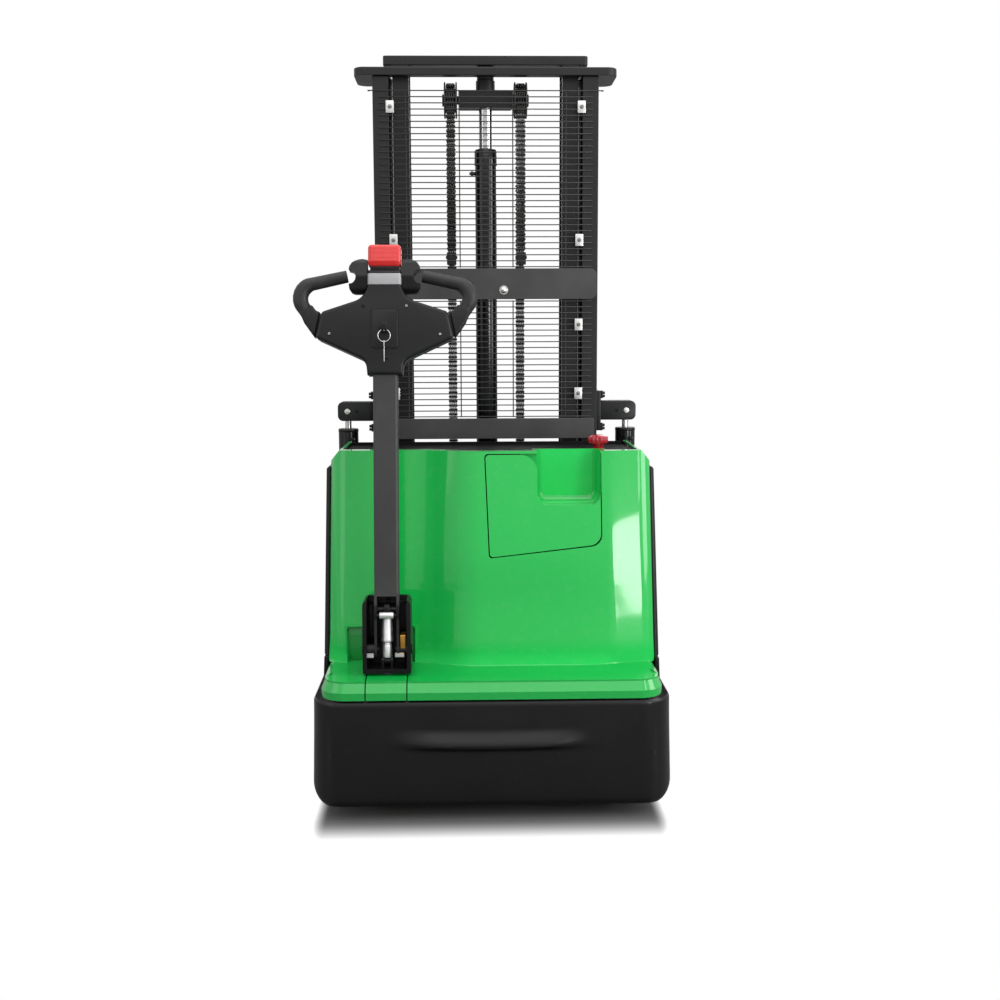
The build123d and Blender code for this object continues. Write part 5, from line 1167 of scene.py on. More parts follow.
    def grip(self, side: float, name: str) -> None:
        """Rubber sleeve of a loop grip and the moulded leg that joins it to the wing."""
        points, wide = self.grip_line(side)
        sleeve = Shape()
        sleeve.tube(points, wide, sides=10)
        sleeve.rim(lambda at: abs(abs(at.x) - self.knob[1] - 5.0) < 4.5, 2.5, 3, 60.0)
        self.put(sleeve, f"grip_{name}_sleeve", Finishes.grip, replaces=(f"grip_{name}",), smooth=60.0)
        leg = Shape()
        outline = [(self.wing + 3.2, 90.5), (196.0, 127.0), (209.0, 157.0), (178.0, 173.0), (167.0, 157.0),
                   (self.wing - 10.6, 155.0)]
        leg.prism([(side * x, self.up(along)) for x, along in outline], Axis.Y, -17.5, 17.5)
        inner = self.up(156.0)
        leg.bend_edges(lambda at: abs(at.z - inner) < 0.5, Axis.Y, 12.0, 6)
        leg.rim(lambda at: abs(at.x) > self.wing - 13.0, 9.0, 6)
        self.put(leg, f"grip_{name}_leg", Finishes.head)
        core = Shape()
        outline = ((-9.0, 94.0), (9.0, 99.0), (-1.0, 150.0), (-20.0, 148.0))
        core.prism([(side * (self.wing + at), self.up(along)) for at, along in outline], Axis.Y, -13.0, 13.0)
        core.rim(lambda at: True, 1.0, 2, 30.0)
        self.put(core, f"grip_{name}_core", Finishes.trim)

    def paddle(self) -> list[Flat]:
        """Front outline of one throttle knob: round thumb paddles above and below a finger notch."""
        inner, outer = self.knob
        edge = [(inner, -37.0), (outer - 15.0, -37.0), (outer - 6.0, -33.6), (outer - 1.0, -26.0),
                (outer, -14.4)]
        for turn in range(-60, 61, 12):
            angle = math.radians(turn)
            edge.append((outer + 1.0 - 18.0 * math.cos(angle), 3.0 + 18.0 * math.sin(angle)))
        return edge + [(outer, 20.4), (outer - 1.6, 29.0), (outer - 7.0, 37.6), (outer - 15.0, 44.0),
                       (outer - 24.0, 47.8), (outer - 33.0, 49.0), (inner, 46.0)]

    def knobs(self) -> None:
        """Butterfly throttle knobs on their shaft."""
        front = ((-37.0, -8.0), (-26.0, -20.0), (4.0, -28.0), (40.0, -18.0), (49.0, -6.0))
        back = ((-37.0, 9.0), (-12.0, 21.0), (24.0, 19.0), (49.0, 4.0))
        height = self.up(self.throttle_up)
        whole = Shape()
        for side in (-1.0, 1.0):
            shape = Shape()
            shape.prism([(side * x, height + along) for x, along in self.paddle()], Axis.Y, -10.0, 10.0)
            shape.slice(Axis.Z, [height + 3.0 * step for step in range(-12, 17)])
            for vert in shape.mesh.verts:
                vert.co.y = along_table(front if vert.co.y < 0.0 else back, vert.co.z - height)
            shape.face_out()
            whole.add(shape)
        whole.pin(Axis.X, -self.knob[1] + 20.0, self.knob[1] - 20.0, (0.0, height), 6.0, 24)
        made = self.put(whole, "throttle_butterfly", Finishes.control, "throttle", ("throttle_knobs",), 35.0)
        soft = made.modifiers.new("Soft edges", "BEVEL")
        soft.limit_method, soft.angle_limit = "ANGLE", math.radians(40.0)
        soft.width, soft.segments = 3.4 * MM, 4

    def belly_button(self) -> None:
        """Red reversing button with soft ridges across its face."""
        low, high = (self.up(along) for along in self.button)
        shape = Shape()
        shape.box((-self.column, -28.0, low), (self.column, 28.0, high), 9.0, 6)
        shape.slice(Axis.Z, [low + 10.0 + 1.6 * step for step in range(23)])
        for vert in shape.mesh.verts:
            if vert.co.y < -18.0:
                inside = (smoothstep(low + 6.0, low + 14.0, vert.co.z)
                          * smoothstep(high - 6.0, high - 14.0, vert.co.z))
                wave = math.cos((vert.co.z - low) / 12.0 * math.tau)
                vert.co.y -= inside * (0.12 * wave + 2.6 * smoothstep(high, low, vert.co.z))
        skirt = Shape()
        skirt.box((-self.column + 5.4, -23.6, self.up(253.4)), (self.column - 5.4, 23.6, low + 4.0), 1.0)
        self.put(skirt, "belly_button_neck", Finishes.trim, "belly_button_body")
        self.put(shape, "belly_button_cap", Finishes.red, "belly_button_body", ("belly_button",), 50.0)

    def screws(self) -> None:
        """Socket screws of the housing, each on a darker disc that paints the shade of its counterbore."""
        heads, shade_discs = Shape(), Shape()
        for x, along, bright in ((-134.0, 99.0, True), (134.0, 97.0, True), (-51.0, 167.0, False),
                                 (53.0, 166.0, True), (5.0, 40.0, False)):
            height = self.up(along)
            # painted shade: a darker disc, barely proud of the face, stands for the counterbore's shade
            shade_discs.lathe([(0.0, 0.25), (5.6, 0.25), (5.9, 0.05), (5.9, -2.0), (0.0, -2.0)],
                        (x, -self.deep, height), Axis.Y)
            for vert in shade_discs.mesh.verts:
                if abs(vert.co.x - x) < 6.0 and abs(vert.co.z - height) < 6.0:
                    vert.co.y = -2.0 * self.deep - vert.co.y
            if bright:
                heads.lathe([(0.0, -0.2), (1.5, -0.2), (1.7, -0.9), (2.6, -0.8), (3.0, -0.2), (3.0, 1.0),
                             (0.0, 1.0)], (x, -self.deep, height), Axis.Y, 24)
        self.put(shade_discs, "housing_counterbore_shade", Finishes.trim)
        self.put(heads, "housing_screws", Finishes.zinc)

    def lock(self) -> None:
        """Key switch: barrel with slot, key bow, split ring and a second key hanging from it."""
        height = self.up(self.key_up)
        face = -self.deep
        barrel = Shape()
        barrel.lathe([(0.0, -8.0), (10.5, -8.0), (12.0, -6.5), (12.4, -3.0), (14.5, -2.6), (14.5, 10.0),
                      (0.0, 10.0)], (0.0, face - 2.0, height), Axis.Y)
        self.put(barrel, "key_barrel", Finishes.control, "key_body", ("key",))
        metal = Shape()
        metal.box((-1.2, face - 24.0, height - 9.0), (1.2, face - 9.5, height + 9.0), 0.5)
        ring = [(15.0 * math.sin(turn * math.tau / 40), face - 19.0 + 1.2 * math.cos(turn * math.tau / 20),
                 height - 19.5 + 15.0 * math.cos(turn * math.tau / 40)) for turn in range(40)]
        metal.tube(ring, 1.25, closed=True)
        metal.box((-1.1, face - 25.0, height - 50.0), (1.1, face - 13.0, height - 32.0), 0.5)
        metal.box((-1.1, face - 21.5, height - 83.0), (1.1, face - 15.5, height - 48.0), 0.4)
        self.put(metal, "keys_and_ring", Finishes.steel, "key_body")
        bow = Shape()
        bow.box((-8.5, face - 26.0, height - 7.0), (8.5, face - 20.0, height + 12.0), 2.6, 4)
        self.put(bow, "key_bow", Finishes.trim, "key_body")

    def rockers(self) -> None:
        """Lift rockers on the head's far side, with rounded edges."""
        softened("lift_rocker", Finishes.control, "lift_rocker_body", 1.0, 3)
        softened("initial_lift_rocker", Finishes.control, "initial_rocker_body", 1.0, 3)

    def foot_details(self) -> None:
        """Bracket with its cross frame, bronze block and bolts, and the sleeve on the arm's cross pin."""
        softened("tiller_bracket", Finishes.foot, "steer_unit", 1.4, 3)
        softened("pivot_pins", Finishes.foot, "steer_unit", 0.8, 2)
        x, y, _ = self.pivot
        bolts = Shape()
        for at, height in ((-43.0, 394.0), (31.0, 395.0)):
            bolts.pin(Axis.X, x + at - 11.0, x + at + 11.0, (y - 20.0, height), 6.6, 6, 0.8)
        bolts.piece("bracket_bolts", Finishes.zinc, "steer_unit")
        block = Shape()
        block.box((x + 31.0, y - 14.0, 409.0), (x + 46.0, y + 22.0, 443.0), 2.0, 3)
        block.piece("bronze_block", Finishes.brass, "steer_unit")
        ribs = Shape()
        ribs.box((x - 48.0, -899.2, 507.0), (x + 48.0, -895.0, 517.0), 1.0)
        for at in (-47.0, 39.0):
            ribs.box((x + at, -898.6, 363.0), (x + at + 8.0, -895.0, 508.0), 1.0)
        ribs.piece("bracket_ribs", Finishes.foot, "steer_unit")
        sleeve = Shape()
        sleeve.pin(Axis.X, -17.0, 17.0, (-25.0, 84.0), 8.6, 40, 1.0)
        self.put(sleeve, "cross_pin_sleeve", Finishes.zinc)
        shaft = Shape()
        shaft.pin(Axis.X, -29.0, 29.0, (-25.0, 84.0), 5.0, 24)
        for side in (-1.0, 1.0):
            shaft.box((side * 23.8, -33.0, 76.0), (side * 29.8, -18.0, 108.0), 1.0)
        self.put(shaft, "cross_pin_shaft", Finishes.foot)

    def gas_spring(self) -> None:
        """Gas spring: bright flared tube above and the rod's sleeve below."""
        origin = (0.0, 0.0, 0.0)
        tube, eye, rod, knuckle = Shape(), Shape(), Shape(), Shape()
        top = self.spring_reach - 20.0
        tube.lathe([(6.2, 68.0), (12.5, 66.0), (12.5, 46.0), (13.9, 46.0), (14.6, 47.0), (14.6, 52.0),
                    (13.8, 60.0), (12.6, top - 4.0), (11.8, top), (6.2, top), (6.2, 68.0)], origin,
                   segments=64)
        eye.lathe([(14.2, -7.0), (17.6, -7.0), (18.0, -6.4), (18.0, 6.4), (17.6, 7.0), (14.2, 7.0),
                   (14.2, -7.0)], (0.0, 0.0, self.spring_reach), Axis.X, 48)
        rod.lathe([(0.0, 8.0), (11.4, 8.0), (12.0, 9.0), (12.0, 38.0), (11.6, 40.0), (10.0, 41.0),
                   (10.0, 44.0), (6.0, 45.0), (6.0, 78.0), (0.0, 78.0)], origin, segments=56)
        knuckle.pin(Axis.X, -7.2, 7.2, (0.0, 0.0), 10.0, 40, 0.8)
        for shape, name, finish, body, nodes in (
                (eye, "spring_top_eye", Finishes.foot, "spring_tube_body", ()),
                (tube, "spring_tube_bright", Finishes.silver, "spring_tube_body", ("spring_tube",)),
                (knuckle, "spring_foot_eye", Finishes.foot, "spring_rod_body", ()),
                (rod, "spring_rod_bright", Finishes.silver, "spring_rod_body", ("spring_rod",))):
            shape.seat(self.spring_turn, self.spring_foot).piece(name, finish, body, nodes)


@dataclass
class Mast:
    """Two-stage mast: rails, wire guard, lift cylinder, leaf chains over pulleys, initial lift's brackets."""

    axis_y: float = -337.0
    rail_rear: float = -415.0
    pulley_z: float = 1811.0
    chain_x: float = 97.0
    chain_radius: float = 40.5
    pitch: float = 12.7
    plate_radius: float = 5.9
    plate_waist: float = 4.2
    plate_half: float = 1.3
    chain_pin: Flat = (12.8, 2.7)           # half its length, and its radius
    anchor_z: float = 1392.0
    lug_z: float = 330.0
    cylinder_top: float = 1677.0
    mesh_y: float = -416.6
    mesh_half: float = 292.0
    wire: float = 1.65
    wire_pitch: float = 16.4
    panels: tuple[Flat, Flat] = ((938.0, 1258.0), (1352.0, 1823.0))
    uprights: tuple[float, ...] = (73.0, 219.0, 291.0)
    clip_levels: tuple[Flat, ...] = ((255.0, 1002.0), (255.0, 1193.0), (256.0, 1424.0), (261.0, 1780.0))
    lift_x: float = 395.0
    lift_y: float = -360.0
    pin_z: float = 952.0

    def build(self) -> None:
        """Make everything."""
        self.steelwork()
        self.guard()
        self.clips()
        self.cylinder()
        self.pulleys()
        self.chains()
        self.initial_lift()

    def steelwork(self) -> None:
        """Rails, ties, bars and plates with rounded edges, and the guard bar's bolt."""
        for node, width in (("mast_rails", 2.2), ("mast_tie", 2.6), ("mast_foot", 2.0),
                            ("chain_anchors", 1.0)):
            softened(node, Finishes.mast, "load_frame", width, 3)
        # the bars take the lighter paint, painted light
        for node in ("guard_bar", "lower_crossbar"):
            softened(node, Finishes.bar, "load_frame", 1.5, 3)
        for node, width in (("inner_rails", 2.2), ("inner_top", 2.0), ("crosshead", 1.8)):
            softened(node, Finishes.mast, "inner_mast", width, 3)
        # painted shade: dark strips inside the gaps between inner and outer rails stand for the gaps' shade
        strips = Shape()
        for side in (-1.0, 1.0):
            strips.box((side * 255.7, self.rail_rear + 24.0, 112.0),
                       (side * 263.6, self.rail_rear + 30.0, 1858.0), 0.6)
        strips.piece("rail_gap_shade_strips", Finishes.trim, "load_frame")
        bolt = Shape()
        bolt.lathe([(0.0, 7.4), (3.6, 7.0), (7.4, 5.2), (9.4, 2.4), (9.8, 0.0), (12.0, 0.0), (12.0, -2.0),
                    (0.0, -2.0)], (47.0, 0.0, 0.0), Axis.Z)
        bolt.seat(90.0, (0.0, -428.5, 1288.0))
        bolt.piece("guard_bar_bolt", Finishes.zinc, "load_frame")

    def guard(self) -> None:
        """Welded wire guard with hooked wire ends."""
        shape = Shape()
        half, y = self.mesh_half, self.mesh_y
        for low, high in self.panels:
            count = round((high - low) / self.wire_pitch)
            for number in range(count + 1):
                level = low + (high - low) * number / count
                reach = half + (28.0 if level > 1820.0 else 0.0)
                ends = [(reach - 4.0, y + 7.0, level), (reach - 0.6, y + 4.6, level), (reach, y + 2.0, level),
                        (reach - 1.6, y, level)]
                line = [(-x, deep, up) for x, deep, up in ends] + list(reversed(ends))
                shape.tube(line, self.wire, sides=3)
            for x in self.uprights:
                for side in (-1.0, 1.0):
                    shape.pin(Axis.Z, low - 2.0, high + 2.0, (side * x, y + 2.0 * self.wire), self.wire, 10)
        shape.piece("wire_guard", Finishes.wire, "load_frame", ("mesh_guard",), 60.0)

    def clips(self) -> None:
        """Zinc clips that hold the guard, each with a slotted screw."""
        plates, screws = Shape(), Shape()
        for side in (-1.0, 1.0):
            for across, level in self.clip_levels:
                x, y = side * across, self.mesh_y - self.wire
                plates.box((x - 11.0, y - 2.6, level - 16.5), (x + 11.0, y - 0.2, level + 16.5), 1.1, 3)
                head = Shape()
                head.lathe([(0.0, 3.2), (3.0, 2.8), (5.2, 1.4), (5.8, 0.0), (5.8, -1.0), (0.0, -1.0)],
                           (0.0, 0.0, 0.0), segments=28)
                slot = Shape()
                slot.box((-7.0, -0.8, 1.4), (7.0, 0.8, 6.0))
                slot.turn(slot.mesh.verts, 35.0 + 50.0 * side + level, Axis.Z, (0.0, 0.0, 0.0))
                head = carve(head, slot).seat(90.0, (x, y - 2.6, level))
                screws.add(head)
        plates.piece("guard_clips", Finishes.zinc, "load_frame", ("mesh_clips",))
        screws.piece("guard_clip_screws", Finishes.pump, "load_frame")

    def cylinder(self) -> None:
        """Lift cylinder with gland and bleed screw, the chromed rod and its black cap."""
        top = self.cylinder_top
        barrel = Shape()
        foot = (0.0, self.axis_y, 0.0)
        barrel.lathe([(0.0, 104.0), (29.0, 104.0), (30.0, 106.0), (30.0, top - 44.0), (31.8, top - 42.0),
                      (31.8, top - 4.0), (29.8, top), (23.0, top), (21.0, top + 2.4), (19.3, top + 2.4),
                      (19.3, top - 30.0), (24.0, top - 32.0), (24.0, 120.0), (0.0, 120.0)], foot, segments=72)
        for start, end, radius, sides in ((-28.0, -38.0, 5.2, 24), (-36.0, -42.0, 7.4, 6),
                                          (-41.0, -46.0, 4.0, 20)):
            barrel.pin(Axis.X, start, end, (self.axis_y, top - 64.0), radius, sides, 0.6)
        barrel.piece("lift_cylinder_barrel", Finishes.cylinder, "load_frame", ("lift_cylinder",))
        rod = Shape()
        rod.lathe([(0.0, 150.0), (19.0, 150.0), (19.0, 1789.0), (0.0, 1789.0)], foot, segments=72)
        rod.piece("lift_rod_chrome", Finishes.chrome, "inner_mast", ("piston_rod",))
        cap = Shape()
        cap.lathe([(0.0, 1833.0), (24.0, 1833.0), (26.5, 1835.5), (26.5, 1862.0), (23.5, 1865.0),
                   (23.5, 1894.6), (0.0, 1894.6)], foot, segments=60)
        cap.piece("lift_rod_cap", Finishes.mast, "inner_mast")

    def pulleys(self) -> None:
        """Flanged chain pulleys with hub bolts."""
        for side, name in SIDES:
            shape = Shape()
            x = side * self.chain_x
            half = ((11.1, -17.6), (20.0, -17.6), (21.0, -16.4), (30.0, -15.2), (45.0, -15.2), (47.0, -18.0),
                    (48.4, -17.2), (49.0, -15.6), (48.6, -14.0), (31.8, -13.5))
            shape.lathe(both_sides(half), (x, self.axis_y, self.pulley_z), Axis.X, 72)
            for at in around(5, 37.5, (self.axis_y, self.pulley_z)):
                for face in (-1.0, 1.0):
                    shape.pin(Axis.X, x + face * 14.6, x + face * 17.2, at, 4.6, 6, 0.5)
            shape.piece(f"chain_pulley_{name}", Finishes.iron, f"sheave_{name}", (f"pulley_{name}",))

    def plate(self) -> bpy.types.Mesh:
        """Mesh of one chain plate between a pin at the origin and one a pitch above it."""
        shape = Shape()
        outline = []
        for up, first in ((0.0, 200.0), (self.pitch, 20.0)):
            for step in range(5):
                turn = math.radians(first + 35.0 * step)
                outline.append((self.plate_radius * math.cos(turn), up + self.plate_radius * math.sin(turn)))
            outline.append((math.copysign(self.plate_waist, first - 90.0), self.pitch / 2.0))
        shape.prism(outline, Axis.X, -self.plate_half, self.plate_half)
        return shape.data()

    def link(self, shape: Shape, plate: bpy.types.Mesh, start: Flat, end: Flat, number: int) -> None:
        """Plates and pin of one chain link between two pins, on both sides of the mast.

        Args:
            shape: the shape that gets them.
            plate: mesh of one plate.
            start: (y, z) of the link's first pin.
            end: (y, z) of its second pin.
            number: its place in the chain, which decides the lacing.
        """
        run = Vector(end) - Vector(start)
        stretch = Matrix.Scale(run.length / self.pitch, 4, Axis.Z.value)
        turn = Matrix.Rotation(math.atan2(-run.x, run.y), 4, "X") @ stretch
        places = (-9.6, -3.2, 3.2, 9.6) if number % 2 else (-6.4, 0.0, 6.4)
        reach, radius = self.chain_pin
        for x in (-self.chain_x, self.chain_x):
            for place in places:
                copy = plate.copy()
                copy.transform(Matrix.Translation((x + place, *start)) @ turn)
                shape.mesh.from_mesh(copy)
                bpy.data.meshes.remove(copy)
            shape.pin(Axis.X, x - reach, x + reach, start, radius, 8)

    def chains(self) -> None:
        """Leaf chains: up from the anchors, over the pulleys and down to the carriage."""
        rear, front = self.axis_y - self.chain_radius, self.axis_y + self.chain_radius
        rise, drop = self.pulley_z - self.anchor_z, self.pulley_z - self.lug_z
        up, over, down = round(rise / self.pitch), 10, round(drop / self.pitch)

        def arc(step: int) -> Flat:
            """Pin of the wrap round the pulley."""
            turn = math.pi * (1.0 - step / over)
            return (self.axis_y + self.chain_radius * math.cos(turn),
                    self.pulley_z + self.chain_radius * math.sin(turn))

        routes = (
            ("leaf_chain_rear", "chains_rear", "",
             [(rear, self.anchor_z + rise * n / up) for n in range(up + 1)]),
            ("leaf_chain_wrap", "chain_wraps", "inner_mast", [arc(step) for step in range(over + 1)]),
            ("leaf_chain_front", "chains_front", "",
             [(front, self.pulley_z - drop * n / down) for n in range(down + 1)]),
        )
        count = 0
        made = {}
        plate = self.plate()
        for name, node, body, pins in routes:
            shape = Shape()
            for start, end in zip(pins, pins[1:]):
                self.link(shape, plate, start, end, count)
                count += 1
            made[node] = shape.piece(name, Finishes.chain, body, (node,), 30.0)

        def at(y: float, z: float) -> Point:
            """Place in the row frame, in metres."""
            return (OFFSET_X * MM, y * MM, z * MM)

        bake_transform(made["chains_rear"], "load_frame", "inner_mast",
                 at(rear, self.anchor_z), at(rear, self.pulley_z))
        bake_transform(made["chains_front"], "inner_mast", "carriage",
                 at(front, self.pulley_z), at(front, self.lug_z))

    def bracket(self, shape: Shape, side: float) -> None:
        """Plate on a rail's flank with the two round-cornered cheeks over an initial-lift cylinder."""
        low, high, tip = self.pin_z - 27.0, self.pin_z + 27.0, side * (self.lift_x + 27.0)
        for near, far in ((-26.0, -10.0), (10.0, 26.0)):
            cheek = Shape()
            cheek.box((side * 318.0, self.lift_y + near, low), (tip, self.lift_y + far, high))
            cheek.bend_edges(lambda at: abs(at.x) > self.lift_x, Axis.Y, 15.0, 8)
            cheek.rim(lambda at: True, 1.4, 3, 60.0)
            shape.add(cheek)
        shape.box((side * 308.0, self.lift_y - 42.0, self.pin_z - 56.0),
                  (side * 321.0, self.lift_y + 42.0, self.pin_z + 56.0), 1.6, 3)
        shape.box((side * 318.0, self.lift_y - 10.4, low + 1.0),
                  (side * 361.0, self.lift_y + 10.4, high - 1.0), 1.0)

    def initial_lift(self) -> None:
        """Initial lift: barrels with glands, steel rods, and their brackets with pins and studs, with a dark
        disc on each bracket as painted shade for its hole.
        """
        softened("lift_barrels", Finishes.cylinder, "chassis", 1.6, 3)
        softened("lift_rods", Finishes.steel, "load_frame", 0.8, 2)
        bright, dark, glands, bracket = Shape(), Shape(), Shape(), Shape()
        for side in (-1.0, 1.0):
            x = side * self.lift_x
            self.bracket(bracket, side)
            y, z = self.lift_y, self.pin_z
            bright.pin(Axis.Y, y - 28.4, y + 28.4, (x, z), 8.0, 32, 1.4)
            # painted shade: a dark disc on the cheek stands for the shade in its hole
            dark.pin(Axis.Y, y - 26.4, y - 20.0, (x - side * 27.0, z), 5.4, 28)
            for level in (-50.0, -41.0, 41.0, 50.0):
                for tip, radius, sides in ((333.0, 4.0, 14), (327.0, 6.6, 6)):
                    dark.pin(Axis.X, side * 320.6, side * tip, (y - 33.0, z + level), radius, sides, 0.6)
            glands.lathe([(18.0, 892.0), (27.0, 892.0), (28.6, 894.0), (28.6, 900.0), (27.0, 902.4),
                          (13.0, 903.6), (9.3, 903.6), (9.3, 892.0), (18.0, 892.0)], (x, y, 0.0), segments=48)
            glands.pin(Axis.Y, y - 33.4, y - 20.0, (x + 14.0, 872.0), 6.4, 28, 0.8)
        bracket.piece("initial_lift_brackets", Finishes.mast, "load_frame", ("lift_brackets",))
        bright.piece("bracket_pins", Finishes.zinc, "load_frame")
        dark.piece("bracket_studs_and_hole_shade", Finishes.foot, "load_frame")
        glands.piece("lift_glands", Finishes.trim, "chassis")


@dataclass
class Console:
    """Console tray with the stop knob, and the black side panels."""

    knob: Flat = (282.0, -703.0)
    cap_low: float = 886.0
    cap_high: float = 908.0
    cap: float = 24.4
    tray: float = 865.0
    ribs: int = 14
    strip: Flat = (-849.0, -804.0)

    def build(self) -> None:
        """Make everything."""
        self.tray_plate()
        softened("side_panels", Finishes.trim, "chassis", 2.4, 3)
        strips = Shape()
        for side in (-1.0, 1.0):
            outline = ((414.5, 353.0), (425.6, 353.0), (428.0, 301.0), (416.6, 301.0))
            strips.prism([(side * across, up) for across, up in outline], Axis.Y,
                         self.strip[0] if side > 0.0 else self.strip[1], -500.0)
        strips.rim(lambda at: True, 2.4, 3)
        strips.piece("side_panel_foot", Finishes.trim, "chassis")
        x, y = self.knob
        low, high, wide = self.cap_low, self.cap_high, self.cap
        cap = Shape()
        cap.lathe([(0.0, 851.0), (13.6, 851.0), (13.6, low - 6.0), (15.0, low - 1.0), (wide - 1.6, low),
                   (wide - 1.2, low + 1.4), (wide - 1.2, high - 8.0), (wide - 2.0, high - 4.0),
                   (wide - 5.8, high - 1.4), (12.0, high - 0.3), (0.0, high - 0.1)], (x, y, 0.0), segments=72)
        for at in around(self.ribs, wide - 1.9, self.knob):
            cap.pin(Axis.Z, low + 1.0, high - 4.4, at, 3.4, 16, 1.2)
        cap.piece("stop_mushroom", Finishes.crimson, "stop_knob_body", ("stop_knob",))
        collar = Shape()
        collar.lathe([(radius, self.tray + level) for radius, level in (
            (14.4, -1.0), (24.0, -1.0), (24.0, 2.0), (22.0, 3.4), (15.4, 3.4), (14.4, 2.6), (14.4, -1.0))],
            (x, y, 0.0))
        collar.piece("stop_collar", Finishes.control, "chassis")

    def tray_plate(self) -> None:
        """Console tray, cut back where the hood's hollow reaches over it."""
        plate = Shape()
        plate.mesh = merged_copy("console_tray")
        for vert in plate.mesh.verts:
            vert.co = vert.co / MM - Vector((OFFSET_X, 0.0, 0.0))
        corner = Shape()
        corner.prism([(-230.0, -790.0), (-230.0, -722.4), (-155.4, -722.4), (-47.0, -768.8), (-47.0, -790.0)],
                     Axis.Z, 800.0, 900.0)
        plate = carve(plate, corner)
        plate.rim(lambda at: True, 1.6, 3, 28.0)
        plate.piece("console_tray_finished", Finishes.tray, "chassis", ("console_tray",))


@dataclass
class Running:
    """Running gear: drive unit, caster, load wheels with arms, legs, and the units on the chassis floor."""

    drive: Point = (-255.0, -888.0, 105.0)
    drive_radius: float = 105.0
    drive_half: float = 36.0
    hub: float = 75.0
    caster: Point = (255.0, -843.0, 75.0)
    caster_gap: float = 12.0
    caster_wide: float = 42.0
    load: Point = (195.0, 845.0, 39.0)
    load_half: float = 42.0
    pump: Point = (250.0, -625.0, 484.0)
    ring_step: float = 24.0

    def build(self) -> None:
        """Make everything."""
        self.drive_unit()
        self.caster_unit()
        self.load_wheels()
        self.steelwork()
        self.inner_units()

    def drive_unit(self) -> None:
        """Drive wheel with a grooved tyre and bolted hub below the gear case and its motor."""
        softened("drive_housing", Finishes.iron, "steer_unit", 2.0, 3)
        softened("drive_motor", Finishes.pump, "steer_unit", 1.6, 3)
        half, rim = self.drive_half, self.drive_radius
        hub = Shape()
        x, y, z = self.drive
        hub.lathe(both_sides(((15.1, half), (34.0, half), (35.0, half - 1.0), (36.0, half - 11.0),
                              (39.0, half - 13.5), (60.0, half - 14.0), (62.5, half - 12.0),
                              (63.5, half - 1.0), (65.0, half), (self.hub, half))), self.drive, Axis.X, 72)
        for at in around(6, 49.0, (y, z)):
            hub.pin(Axis.X, x - 29.0, x + 29.0, at, 7.5, 6, 0.8)
        hub.piece("drive_wheel_hub", Finishes.iron, "drive_wheel", ("drive_hub",))
        tyre = Shape()
        tyre.lathe(both_sides(((self.hub + 0.1, half), (rim - 7.0, half), (rim - 2.4, half - 2.0),
                               (rim, half - 7.0), (rim, 15.0), (rim - 2.6, 14.0), (rim - 2.6, 11.0),
                               (rim, 10.0))), self.drive, Axis.X, 96)
        tyre.piece("drive_wheel_tyre", Finishes.tread, "drive_wheel", ("drive_tyre",))

    def caster_unit(self) -> None:
        """Swivel caster with twin wheels."""
        softened("caster_fork", Finishes.iron, "caster", 1.6, 3)
        tread, hubs = Shape(), Shape()
        for side in (-1.0, 1.0):
            x = self.caster[0] + side * (self.caster_gap + self.caster_wide / 2.0)
            at = (x, self.caster[1], self.caster[2])
            half = self.caster_wide / 2.0
            tread.lathe(both_sides(((53.1, half), (66.0, half), (71.0, half - 2.0), (74.2, half - 7.0),
                                    (75.0, half - 12.0))), at, Axis.X, 72)
            hubs.lathe(both_sides(((10.05, half), (22.6, half), (24.0, half - 1.2), (25.4, half - 8.0),
                                   (46.0, half - 9.0), (49.0, half - 1.6), (53.0, half))), at, Axis.X, 60)
            for place in around(5, 35.0, at[1:]):
                hubs.pin(Axis.X, x - half + 7.6, x + half - 7.6, place, 5.0, 6, 0.5)
        tread.piece("caster_treads", Finishes.tread, "caster_wheel", ("caster_wheels",))
        hubs.piece("caster_hubs", Finishes.iron, "caster_wheel")

    def load_wheels(self) -> None:
        """Load wheels: polyurethane rollers on steel hubs with bearing seals."""
        half = self.load_half
        for side, name in SIDES:
            at = (side * self.load[0], self.load[1], self.load[2])
            roller = Shape()
            roller.lathe(both_sides(((25.1, half), (34.0, half), (37.6, half - 1.6), (39.0, half - 5.0))),
                         at, Axis.X, 72)
            roller.piece(f"load_roller_{name}", Finishes.tread, f"wheel_{name}", (f"load_wheel_{name}",))
            hub = Shape()
            hub.lathe(both_sides(((9.1, half - 1.0), (12.0, half - 1.0), (13.0, half - 2.4),
                                  (19.0, half - 2.4), (20.0, half), (25.0, half))), at, Axis.X, 60)
            for place in around(4, 16.0, at[1:]):
                hub.pin(Axis.X, at[0] - half + 1.6, at[0] + half - 1.6, place, 1.9, 16)
            hub.piece(f"load_hub_{name}", Finishes.zinc, f"wheel_{name}")

    def steelwork(self) -> None:
        """Frame, legs, wheel arms, push rods, carriage and forks with rounded edges."""
        softened("chassis_frame", Finishes.mast, "chassis", 1.2, 2)
        for name in ("left", "right"):
            softened(f"support_leg_{name}", Finishes.mast, "load_frame", 1.6, 3)
            softened(f"wheel_arm_{name}", Finishes.mast, f"arm_{name}", 1.2, 2)
        softened("push_rods", Finishes.zinc, "rods", 0.8, 2)
        softened("carriage_frame", Finishes.mast, "carriage", 1.8, 3)
        softened("forks", Finishes.mast, "carriage", 2.4, 3)
        bolts = Shape()
        for side in (-1.0, 1.0):
            for across in (-52.0, 52.0):
                for level in (205.0, 430.0):
                    bolts.pin(Axis.Y, -116.0, -107.0, (side * self.load[0] + across, level), 11.0, 6, 1.2)
        bolts.piece("fork_bolts", Finishes.zinc, "carriage")

